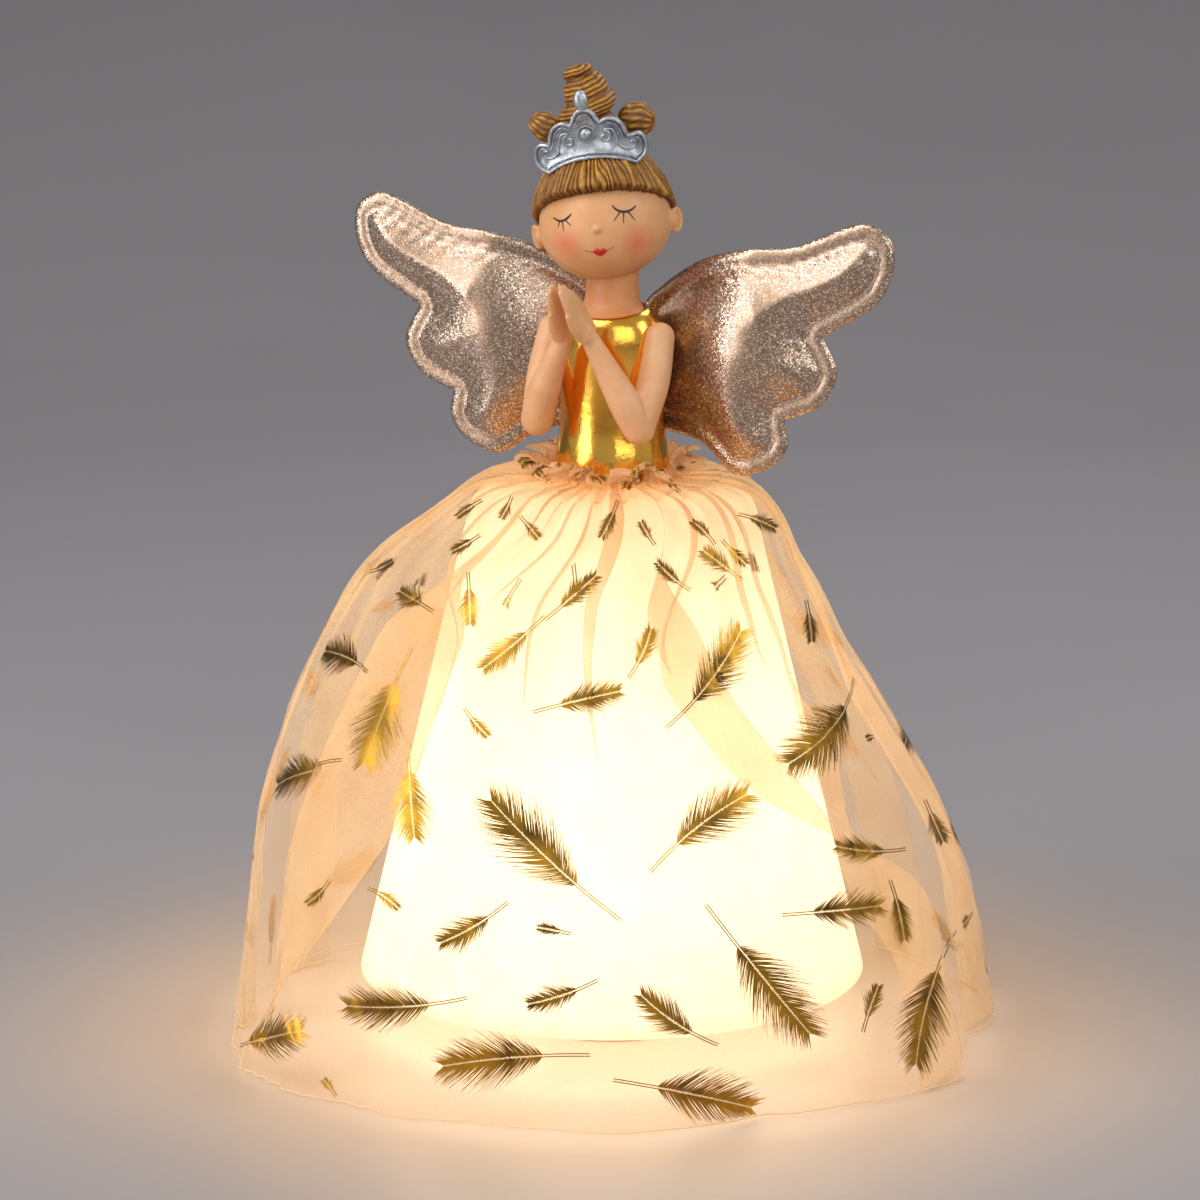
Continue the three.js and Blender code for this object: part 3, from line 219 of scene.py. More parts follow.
def capped(rings: Array) -> Patch:
    """Makes a mesh of rings and closes its two ends.

    Args:
        rings: Rings by their points by three.

    Returns:
        The closed mesh.
    """
    rows, sides = rings.shape[:2]
    made = grid(rings)
    ends = [tuple(reversed(range(sides))), tuple(range((rows - 1) * sides, rows * sides))]
    return Patch(made.points, made.faces + ends)


def revolve(profile: Sequence[Sequence[float]], sides: int = 96, depth: float = 1.0) -> Patch:
    """Turns a profile about Z.

    Args:
        profile: Radius and height of each point.
        sides: Points round the axis.
        depth: Front-to-back radius against the side-to-side one.

    Returns:
        The turned mesh, open where its profile is.
    """
    shape = np.asarray(profile, float)
    angle = directions(sides)
    ring = np.stack([np.cos(angle), depth * np.sin(angle), np.zeros(sides)], axis=1)
    points = shape[:, None, :1] * ring[None]
    points[:, :, 2] = shape[:, None, 1]
    return grid(points)


def tube(path: Array, radius: Array | float, sides: int = 8, closed: bool = False) -> Patch:
    """Sweeps a round section along a path.

    Args:
        path: Points of the path.
        radius: Radius at each point, or one for all.
        sides: Points round the section.
        closed: Whether the path is a loop.

    Returns:
        The swept mesh, with both ends capped unless it is a loop.
    """
    count = len(path)
    radii = np.broadcast_to(np.asarray(radius, float), (count,))
    ahead = np.roll(path, -1, 0) - np.roll(path, 1, 0)
    if not closed:
        ahead[0], ahead[-1] = path[1] - path[0], path[-1] - path[-2]
    ahead /= np.linalg.norm(ahead, axis=1)[:, None]
    anywhere = (0.31, 0.87, 0.38)
    across = np.cross(ahead[0], anywhere)
    angle = directions(sides)
    rings = np.empty((count, sides, 3))
    for i in range(count):
        across = across - (across @ ahead[i]) * ahead[i]
        across /= np.linalg.norm(across)
        other = np.cross(ahead[i], across)
        ring = np.cos(angle)[:, None] * across + np.sin(angle)[:, None] * other
        rings[i] = path[i] + radii[i] * ring
    if closed:
        return grid(np.concatenate([rings, rings[:1]]))
    return capped(rings)


def ball(centre: Sequence[float], radii: Sequence[float], columns: int = 32, rows: int = 20) -> Patch:
    """Makes an ellipsoid.

    Args:
        centre: Its middle.
        radii: Its radius along X, Y and Z.
        columns: Points round it.
        rows: Points from bottom to top.

    Returns:
        The closed mesh.
    """
    polar = np.linspace(np.pi, 0, rows)[:, None]
    angle = directions(columns)[None]
    unit = np.stack([np.sin(polar) * np.cos(angle), np.sin(polar) * np.sin(angle),
                     np.broadcast_to(np.cos(polar), (rows, columns))], axis=2)
    return capped(unit * np.asarray(radii, float) + np.asarray(centre, float))


def limb(points: Sequence[Sequence[float]], radii: Sequence[float], sides: int = 20) -> Patch:
    """Makes a rounded limb along a smooth path.

    Args:
        points: Where it passes.
        radii: Its radius at each of those points.
        sides: Points round it.

    Returns:
        A closed mesh with a ball at each end.
    """
    steps, ball_rows = 16, 12
    both = np.column_stack([np.asarray(points, float), radii])
    path = spline(both, steps)
    body = tube(path[:, :3], path[:, 3], sides)
    ends = [ball(points[i], (radii[i],) * 3, sides, ball_rows) for i in (0, -1)]
    return Patch.joined([body, *ends])


def drawn_in(edge: Array, distance: float) -> Array:
    """Moves a flat closed outline inwards.

    Args:
        edge: Points round it, anticlockwise.
        distance: How far.

    Returns:
        The moved outline.
    """
    along = np.roll(edge, -2, 0) - np.roll(edge, 2, 0)
    along /= np.linalg.norm(along, axis=1)[:, None]
    return edge + distance * np.column_stack([-along[:, 1], along[:, 0]])


def holds(edge: Array, spots: Array) -> Array:
    """Tells which points lie inside a flat closed outline.

    Args:
        edge: Points round it.
        spots: The points to tell of.

    Returns:
        True for each point inside.
    """
    held = np.zeros(len(spots), bool)
    x, y = spots.T
    least = 1e-12
    for (ax, ay), (bx, by) in zip(edge, np.roll(edge, -1, 0)):
        crosses = (ay > y) != (by > y)
        where = ax + (y - ay) * (bx - ax) / (by - ay + least)
        held ^= crosses & (x < where)
    return held


def filled(edge: Array, loose: Array, merge: float) -> tuple[Array, Faces, list[int]]:
    """Fills a flat outline with faces.

    Args:
        edge: Points round the outline.
        loose: Points inside it that the faces use too.
        merge: Points closer than this become one.

    Returns:
        The points, the faces and the numbers of the points round the outline.
    """
    given = [Vector(spot) for spot in (*edge, *loose)]
    made = delaunay_2d_cdt(given, [], [tuple(range(len(edge)))], 1, merge)
    spots = np.array([tuple(spot) for spot in made[0]])
    rim = [int(np.argmin(np.linalg.norm(spots - spot, axis=1))) for spot in edge]
    return spots, [tuple(face) for face in made[2]], rim


def slab(front: Array, back: Array, faces: Faces, rim: Sequence[int], step: int) -> Patch:
    """Closes two like faces of a flat piece into a slab.

    Args:
        front: Points of its front.
        back: The same points on its back.
        faces: Faces of its front.
        rim: Point numbers round its edge.
        step: 1 where its walls run with the rim, -1 where they run against it.

    Returns:
        The closed mesh.
    """
    total = len(front)
    behind = [tuple(i + total for i in reversed(face)) for face in faces]
    walls = []
    for i, here in enumerate(rim):
        there = rim[(i + step) % len(rim)]
        walls.append((here, there, there + total, here + total))
    return Patch(np.vstack([front, back]), faces + behind + walls)


def add_node(tree: Tree, kind: str, inputs: Sequence | dict = (), **settings: object) -> Node:
    """Adds a shader node, sets it and links it.

    Args:
        tree: Where it goes.
        kind: Blender's name of the node type after "ShaderNode".
        inputs: Value, socket or node for each input, in order or by name. A node gives its first output.
        **settings: The node's own settings.

    Returns:
        The node.
    """
    node = tree.nodes.new(f"ShaderNode{kind}")
    for name, value in settings.items():
        setattr(node, name, value)
    named = inputs if isinstance(inputs, dict) else dict(enumerate(inputs))
    for name, value in named.items():
        source = value.outputs[0] if isinstance(value, Node) else value
        if isinstance(source, Socket):
            tree.links.new(source, node.inputs[name])
        else:
            node.inputs[name].default_value = source
    return node


@dataclass(frozen=True)
class Finish:
    """A plain moulded, painted or metal finish with a fine grain of its own.

    Attributes:
        name: Real material and process.
        base: Main colour.
        shade: Colour of its clouding.
        grain: Size of the clouding.
        roughness: Least and greatest roughness.
        metallic: 1 for bare metal.
        bump: Height of the surface's unevenness.
        coat: Weight of a clear coat.
        glow: Colour and strength of its own light.
        tones: Part of the clouding in which the base gives way to the shade.
    """

    name: str
    base: str
    shade: str
    grain: float = 4.0
    roughness: Pair = (0.4, 0.55)
    metallic: float = 0.0
    bump: float = 0.02
    coat: float = 0.0
    glow: tuple[str, float] | None = None
    tones: Pair = (0.35, 0.7)

    def clouds(self, tree: Tree, size: float) -> Node:
        """Gives a cloudy pattern whose clouds have a size."""
        place = add_node(tree, "TexCoord").outputs["Object"]
        return add_node(tree, "TexNoise", {"Vector": place, "Scale": 1 / (size * MM), "Detail": CLOUD_LAYERS})

    def colour(self, tree: Tree) -> Node:
        """Gives the surface's colour, clouded by its shade."""
        share = add_node(tree, "MapRange", (self.clouds(tree, self.grain), *self.tones, 0.0, 1.0))
        return add_node(tree, "MixRGB", (share, linear(self.base), linear(self.shade)))

    def light(self, tree: Tree) -> dict:
        """Gives the finish's own light.

        Args:
            tree: The material's nodes, not used here.

        Returns:
            Inputs of the shader, none where it gives no light.
        """
        if self.glow is None:
            return {}
        return {"Emission Color": linear(self.glow[0]), "Emission Strength": self.glow[1]}

    def normal(self, tree: Tree) -> Node:
        """Gives the surface's fine unevenness, a third of the clouding's size."""
        rise = self.clouds(tree, self.grain / 3)
        return add_node(tree, "Bump", {"Height": rise, "Distance": self.bump * MM, "Strength": 1.0})

    def surface(self, tree: Tree) -> Node:
        """Gives the whole shader.

        Args:
            tree: The material's nodes.

        Returns:
            The shader's node.
        """
        uneven = self.clouds(tree, self.grain / 2)
        inputs = {
            "Base Color": self.colour(tree),
            "Roughness": add_node(tree, "MapRange", (uneven, *CLOUD_RANGE, *self.roughness)),
            "Metallic": self.metallic,
            "Normal": self.normal(tree),
            "Coat Weight": self.coat,
            **self.light(tree),
        }
        return add_node(tree, "BsdfPrincipled", inputs)

    def build(self) -> bpy.types.Material:
        """Makes the Blender material.

        Returns:
            The material.
        """
        material = bpy.data.materials.new(self.name)
        material.use_nodes = True
        material.node_tree.nodes.clear()
        shader = self.surface(material.node_tree)
        add_node(material.node_tree, "OutputMaterial", {"Surface": shader})
        return material


@dataclass(frozen=True)
class LitFrost(Finish):
    """Frosted moulding with lamps inside it, so that it shines less at its foot and towards its top.

    Attributes:
        levels: Heights of its foot, of the bright band's ends and of its top.
        dim: Share of the full light at its foot and at its top.
    """

    levels: tuple[float, float, float, float] = (18.0, 62.0, 108.0, 168.0)
    dim: Pair = (0.6, 0.4)

    def light(self, tree: Tree) -> dict:
        """Gives light that fades with height.

        Args:
            tree: The material's nodes.

        Returns:
            Inputs of the shader.
        """
        colour, full = self.glow
        place = add_node(tree, "TexCoord").outputs["Object"]
        height = add_node(tree, "SeparateXYZ", (place,)).outputs["Z"]
        foot, low, high, top = (level * MM for level in self.levels)
        rise = add_node(tree, "MapRange", (height, foot, low, self.dim[0], 1.0))
        drop = add_node(tree, "MapRange", (height, high, top, full, full * self.dim[1]))
        strength = add_node(tree, "Math", (rise, drop), operation="MULTIPLY")
        return {"Emission Color": linear(colour), "Emission Strength": strength}


@dataclass(frozen=True)
class PaintedPoolSweep(Finish):
    """Smooth sweep with a warm pool of lamplight round the object, painted into its colour.

    Attributes:
        pool: Painted colour of lamplight in the middle of the pool, under the hem.
        halo: Painted colour of lamplight round the pool.
        under: Distances from the axis between which the pool gives way to its halo.
        near: Distance where the halo begins to fade.
        far: Distance where it has faded.
        fall: Power with which it fades.
    """

    pool: str = "#F6E8D6"
    halo: str = "#E8C6A2"
    under: Pair = (70.0, 130.0)
    near: float = 95.0
    far: float = 275.0
    fall: float = 2.2

    def colour(self, tree: Tree) -> Node:
        """Gives the sweep's colour, warmer towards the object, where a pool of lamplight is painted on it.

        Args:
            tree: The material's nodes.

        Returns:
            The colour's node.
        """
        place = add_node(tree, "TexCoord").outputs["Object"]
        apart = add_node(tree, "VectorMath", (place,), operation="LENGTH").outputs["Value"]
        # Painted light: towards the object the grey gives way to a warm halo, then under the hem to the pool
        fade = add_node(tree, "MapRange", (apart, self.near * MM, self.far * MM, 1.0, 0.0))
        soft = add_node(tree, "Math", (fade, self.fall), operation="POWER")
        painted_glow = add_node(tree, "MixRGB", (soft, super().colour(tree), linear(self.halo)))
        inner, outer = (reach * MM for reach in self.under)
        middle = add_node(tree, "MapRange", (apart, inner, outer, 1.0, 0.0))
        return add_node(tree, "MixRGB", (middle, painted_glow, linear(self.pool)))


@dataclass(frozen=True)
class BlushedSkin(Finish):
    """Skin paint with airbrushed cheeks.

    Attributes:
        cheeks: Middle of each cheek in the head's frame.
        reach: Radius of each blush.
        depth: Share of the blush's colour in its middle.
    """

    blush: str = "#DE5A44"
    cheeks: tuple[Triple, ...] = ()
    reach: float = 7.0
    depth: float = 0.62

    def colour(self, tree: Tree) -> Node:
        """Gives the paint's colour with the blush laid over it.

        Args:
            tree: The material's nodes.

        Returns:
            The colour's node.
        """
        colour = super().colour(tree)
        place = add_node(tree, "TexCoord").outputs["Object"]
        for cheek in self.cheeks:
            apart = add_node(tree, "VectorMath", (place, Vector(cheek) * MM), operation="DISTANCE")
            inputs = (apart.outputs["Value"], 0.0, self.reach * MM, self.depth, 0.0)
            share = add_node(tree, "MapRange", inputs)
            colour = add_node(tree, "MixRGB", (share, colour, linear(self.blush)))
        return colour


@dataclass(frozen=True)
class BrushedHair(Finish):
    """Hair paint with gold dry-brushed on its ridges.

    Attributes:
        gold: Colour on the ridges.
        dab: Size of the brush's dabs.
        caught: Part of the dabs' pattern in which the brush goes from least to full.
        least: Share of gold where the brush hardly touched.
    """

    gold: str = "#D89E28"
    dab: float = 1.6
    caught: Pair = (0.3, 0.65)
    least: float = 0.25

    def colour(self, tree: Tree) -> Node:
        """Gives the brown paint with broken gold on what stands out.

        Args:
            tree: The material's nodes.

        Returns:
            The colour's node.
        """
        ridge = add_node(tree, "Attribute", attribute_name=TRAIT).outputs["Fac"]
        broken = add_node(tree, "MapRange", (self.clouds(tree, self.dab), *self.caught, self.least, 1.0))
        share = add_node(tree, "Math", (ridge, broken), operation="MULTIPLY")
        return add_node(tree, "MixRGB", (share, super().colour(tree), linear(self.gold)))


@dataclass(frozen=True)
class GlitterCloth(Finish):
    """Fabric covered in fine flakes that each face their own way.

    Attributes:
        spark: Colour of the bright flakes.
        flake: Size of one flake, coarser than real ones of about 0.1 mm so that they show.
        scatter: How far the flakes' faces turn.
        bright: Chances between which a flake turns into a spark.
    """

    spark: str = "#FFF6E6"
    flake: float = 0.29
    scatter: float = 0.22
    bright: Pair = (0.83, 0.9)

    def flakes(self, tree: Tree) -> Socket:
        """Gives each flake a random colour of its own."""
        inputs = {"Vector": add_node(tree, "TexCoord").outputs["Object"], "Scale": 1 / (self.flake * MM)}
        return add_node(tree, "TexVoronoi", inputs).outputs["Color"]

    def colour(self, tree: Tree) -> Node:
        """Gives the flakes' colours, from the shade to bright sparks.

        Args:
            tree: The material's nodes.

        Returns:
            The colour's node.
        """
        chance = add_node(tree, "SeparateColor", (self.flakes(tree),)).outputs["Red"]
        tone = add_node(tree, "MixRGB", (chance, linear(self.shade), linear(self.base)))
        spark = add_node(tree, "MapRange", (chance, *self.bright, 0.0, 1.0))
        return add_node(tree, "MixRGB", (spark, tone, linear(self.spark)))

    def normal(self, tree: Tree) -> Node:
        """Turns each flake's face a little.

        Args:
            tree: The material's nodes.

        Returns:
            The normal's node.
        """
        half = (0.5, 0.5, 0.5)
        face = add_node(tree, "NewGeometry").outputs["Normal"]
        aside = add_node(tree, "VectorMath", (self.flakes(tree), half), operation="SUBTRACT")
        turn = add_node(tree, "VectorMath", {0: aside, "Scale": self.scatter}, operation="SCALE")
        turned = add_node(tree, "VectorMath", (face, turn), operation="ADD")
        return add_node(tree, "VectorMath", (turned,), operation="NORMALIZE")


@dataclass(frozen=True)
class SheerOrganza(Finish):
    """Thin crisp cloth that lets part of the light straight through.

    Attributes:
        slub: Least and greatest thickness of its uneven threads.
        thread: Width of the slubs, coarser than real ones of about 0.2 mm so that they show.
        through: Share of the light on the threads that passes to the other side.
    """

    slub: Pair = (0.8, 1.2)
    thread: float = 0.5
    through: float = 0.74

    def surface(self, tree: Tree) -> Node:
        """Gives threads that scatter light to both sides, with clear gaps between them.

        Args:
            tree: The material's nodes.

        Returns:
            The shader's node.
        """
        back = add_node(tree, "BsdfTranslucent", (self.colour(tree),))
        threads = add_node(tree, "MixShader", (self.through, super().surface(tree), back))
        clear = add_node(tree, "BsdfTransparent")
        weave = add_node(tree, "MapRange", (self.clouds(tree, self.thread), *CLOUD_RANGE, *self.slub))
        closed = add_node(tree, "Attribute", attribute_name=TRAIT).outputs["Fac"]
        cover = add_node(tree, "Math", (closed, weave), operation="MULTIPLY", use_clamp=True)
        return add_node(tree, "MixShader", (cover, clear, threads))


@functools.cache
def material_of(finish: Finish) -> bpy.types.Material:
    """Gives a finish's one Blender material, made at the first call."""
    return finish.build()


# Frosted moulding lit from behind: an even warm white with hardly any form of its own
FROSTED = LitFrost("frosted_polypropylene", "#FFF3DC", "#FFE9C4", grain=9, roughness=(0.5, 0.62),
                   glow=("#FFE2B6", 1.5))
# Ivory moulding with a soft satin sheen
WHITE = Finish("moulded_white_abs", "#ECE7DC", "#DDD6C8", grain=7, roughness=(0.42, 0.56))
# Thin white moulding given a glow of its own: painted light that stands in for the lamp's light warming the
# table under the hem
BASE_PLATE_PAINTED_GLOW = Finish("white_abs_painted_glow", "#F0E9DB", "#E2DACA", grain=7, roughness=(0.42, 0.56),
                    glow=("#FFF0DC", 0.85))
# Warm satin paint, faintly cloudy as a sprayed doll is, in its lightest copy, on the arms; the three skin
# copies differ by painted light and shade
SKIN = Finish("sprayed_skin_resin", "#E7B080", "#DDA16D", grain=8, roughness=(0.38, 0.5), bump=0.015)
# The same skin paint, deeper and warmer on the neck and yoke: painted shade and a painted warm reflection of
# the gold bodice
NECK_PAINTED_SHADE_SKIN = Finish("skin_resin_painted_shade", "#D4915B", "#CA8149", grain=8, roughness=(0.38, 0.5), bump=0.015)
# The same skin paint a little darker on the face, painted shade, between the two, under the blush that the
# head adds
FACE_PAINTED_SHADE_SKIN = BlushedSkin("airbrushed_face_resin_painted_shade", "#DFA571", "#D49760", grain=8, roughness=(0.38, 0.5),
                        bump=0.015)
# Brown paint in the grooves, gold where a dry brush caught
HAIR = BrushedHair("brushed_hair_resin", "#7A440B", "#552D07", grain=2.4, bump=0.05)
# Silver paint: bright, slightly dusty metal with darker hollows
SILVER = Finish("silver_painted_resin", "#BFC4C9", "#92989F", grain=1.8, roughness=(0.26, 0.42), metallic=0.8,
                bump=0.06)
# Mirror gold with soft ripples that bend its reflections
GOLD = Finish("vacuum_gold_abs", "#FFC657", "#F2AB3E", grain=16, roughness=(0.14, 0.22), metallic=1.0,
              bump=0.22)
# Rose-champagne flakes under clear film: grainy, with white sparks and a glossy bloom
GLITTER = GlitterCloth("glitter_film_cloth", "#C6A78C", "#84634A", roughness=(0.24, 0.32), metallic=0.85,
                       coat=0.6)
# Pale thread that shows the sewn line
THREAD = Finish("polyester_thread", "#F1CDBE", "#DDB3A2", grain=0.6, roughness=(0.55, 0.7))
# Cream sheer cloth that glows where light comes through
ORGANZA = SheerOrganza("champagne_organza", "#F5DCB6", "#EBCCA2", grain=14, roughness=(0.45, 0.6))
# Cream thread rolled along the hem, a bright thin line
HEM_THREAD = Finish("rolled_polyester_hem", "#EFD2AB", "#E2BF95", grain=0.6, roughness=(0.5, 0.65))
# Thin hot-stamped foil: its colour clouds between bright yellow gold and dark olive gold, a painted
# reflection of the lamp and painted shade of backlit foil
FOIL = Finish("gold_stamping_foil", "#C2922F", "#5E4415", grain=13, roughness=(0.28, 0.45), metallic=0.92,
              bump=0.03)
# Dull ribbed cover of the cord in the waist
ELASTIC = Finish("covered_elastic", "#E9DCC8", "#CDBBA2", grain=0.8, roughness=(0.7, 0.85), bump=0.08)
# Thin satin lines and a glossier red of the painted face
LASH_PAINT = Finish("dark_lash_paint", "#3A2A26", "#2A1C1A", grain=0.5, roughness=(0.4, 0.5))
LIP_PAINT = Finish("red_lip_paint", "#CE211A", "#B01612", grain=0.9, roughness=(0.3, 0.42))
SMILE_PAINT = Finish("brown_line_paint", "#9A5A3C", "#85482E", grain=0.5, roughness=(0.4, 0.5))
# Bright cold metal of screws, springs and contacts, dark printed cells and a green board
STEEL = Finish("zinc_plated_steel", "#B4B7BA", "#8E9296", grain=1.5, roughness=(0.25, 0.4), metallic=1.0)
JACKET = Finish("printed_cell_film", "#4A5560", "#39434D", grain=5, roughness=(0.28, 0.38), metallic=0.3)
BOARD = Finish("green_circuit_board", "#2F6B46", "#24553A", grain=3, roughness=(0.35, 0.5))
# Clear resin that shines of itself
LED_RESIN = Finish("warm_led_epoxy", "#FFE9B8", "#FFDC98", grain=2, roughness=(0.12, 0.2),
                   glow=("#FFD489", 3.0))
# Soft sleeves of the leads and the switch's plain black moulding
RED_LEAD = Finish("red_pvc_insulation", "#B3302A", "#96241F", grain=2, roughness=(0.4, 0.5))
BLACK_LEAD = Finish("black_pvc_insulation", "#2A2A2C", "#1E1E20", grain=2, roughness=(0.4, 0.5))
BLACK = Finish("moulded_black_abs", "#2E2E31", "#232326", grain=3)
# Smooth grey paper with a satin sheen, and a warm pool of lamplight painted round the object
SWEEP = PaintedPoolSweep("grey_satin_sweep_painted_lamp_pool", "#9C989B", "#989497", grain=300, roughness=(0.4, 0.44), bump=0.0)


def add_piece(name: str, patch: Patch, finish: Finish, replaces: Sequence[str] = (),
              matrix: Matrix | None = None) -> bpy.types.Object:
    """Adds a visual piece to the object.

    Args:
        name: The piece's name.
        patch: Its mesh, in millimetres.
        finish: Its finish.
        replaces: CAD nodes that it stands for.
        matrix: Where its own frame lies, in metres.

    Returns:
        The Blender object.
    """
    mesh = bpy.data.meshes.new(name)
    mesh.from_pydata((patch.points * MM).tolist(), [], patch.faces)
    mesh.update()
    mesh.shade_smooth()
    if patch.trait is not None:
        attribute = mesh.attributes.new(TRAIT, "FLOAT", "POINT")
        attribute.data.foreach_set("value", patch.trait.astype(np.float32))
    mesh.materials.append(material_of(finish))
    piece = bpy.data.objects.new(name, mesh)
    bpy.context.scene.collection.objects.link(piece)
    if matrix is not None:
        piece.matrix_world = matrix
    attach(piece, BODY)
    if replaces:
        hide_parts(*replaces)
    LOG.info("built %s: %d points, %d faces", name, len(mesh.vertices), len(mesh.polygons))
    return piece


def fuse(piece: bpy.types.Object, voxel: float, rounds: int) -> None:
    """Melts a piece's overlapping parts into one smooth skin.

    Args:
        piece: The piece.
        voxel: Grain of the new mesh, in millimetres.
        rounds: How often it is smoothed.
    """
    remesh = piece.modifiers.new("melt", "REMESH")
    remesh.mode = "VOXEL"
    remesh.voxel_size = voxel * MM
    remesh.use_smooth_shade = True
    relax = piece.modifiers.new("relax", "SMOOTH")
    relax.iterations = rounds
    relax.factor = 0.5


def edge_break(piece: bpy.types.Object, width: float, angle: float = 30.0) -> None:
    """Rounds a piece's sharp edges.

    Args:
        piece: The piece.
        width: Width of the rounding, in millimetres.
        angle: Edges sharper than this, in degrees, are rounded.
    """
    weld = piece.modifiers.new("weld", "WELD")
    weld.merge_threshold = WELD * MM
    bevel = piece.modifiers.new("edge_break", "BEVEL")
    bevel.width = width * MM
    bevel.segments = 2
    bevel.limit_method = "ANGLE"
    bevel.angle_limit = math.radians(angle)


@dataclass(frozen=True)
class PhotoCamera:
    """The photograph's camera in the row frame.

    Attributes:
        eye: Where it stands.
        azimuth: Degrees from the figure's front towards its left.
        pitch: Degrees that it looks down.
        focal: Focal length in pixels of the photograph.
        width: The photograph's width and height in pixels.
        middle: Height on the upright axis at which things are measured.
        sensor: The sensor's width that the focal length is written for.
        clip: Nearest and farthest that it sees, in metres.
    """

    eye: Triple = (590.2, -1158.3, 426.0)
    azimuth: float = 27.166
    pitch: float = 12.634
    focal: float = 4303.6
    width: float = 1200.0
    middle: float = 150.0
    sensor: float = 36.0
    clip: Pair = (0.05, 20.0)

    def axes(self) -> tuple[Array, Array, Array]:
        """Gives the camera's directions.

        Returns:
            Right, up and forward.
        """
        turn, tilt = math.radians(self.azimuth), math.radians(self.pitch)
        level = math.cos(tilt)
        forward = np.array([-math.sin(turn) * level, math.cos(turn) * level, -math.sin(tilt)])
        right = np.array([math.cos(turn), math.sin(turn), 0.0])
        return right, np.cross(right, forward), forward

    def ray(self, pixel: Pixel) -> Array:
        """Gives the direction in which a pixel looks.

        Args:
            pixel: A place in the photograph.

        Returns:
            Its unit direction.
        """
        right, up, forward = self.axes()
        half = self.width / 2
        way = forward + (pixel[0] - half) / self.focal * right + (half - pixel[1]) / self.focal * up
        return way / np.linalg.norm(way)

    def scale(self) -> float:
        """Gives the pixels for each millimetre near the row frame's upright axis."""
        away = np.array([0.0, 0.0, self.middle]) - np.array(self.eye)
        return self.focal / float(away @ self.axes()[2])

    def build(self) -> None:
        """Makes the camera the scene's own."""
        lens = bpy.data.cameras.new("camera")
        lens.sensor_width = self.sensor
        lens.lens = lens.sensor_width * self.focal / self.width
        lens.clip_start, lens.clip_end = self.clip
        camera = bpy.data.objects.new("camera", lens)
        right, up, forward = self.axes()
        turn = Matrix(np.column_stack([right, up, -forward]).tolist()).to_4x4()
        camera.matrix_world = Matrix.Translation(Vector(self.eye) * MM) @ turn
        bpy.context.scene.collection.objects.link(camera)
        bpy.context.scene.camera = camera


PHOTO = PhotoCamera()


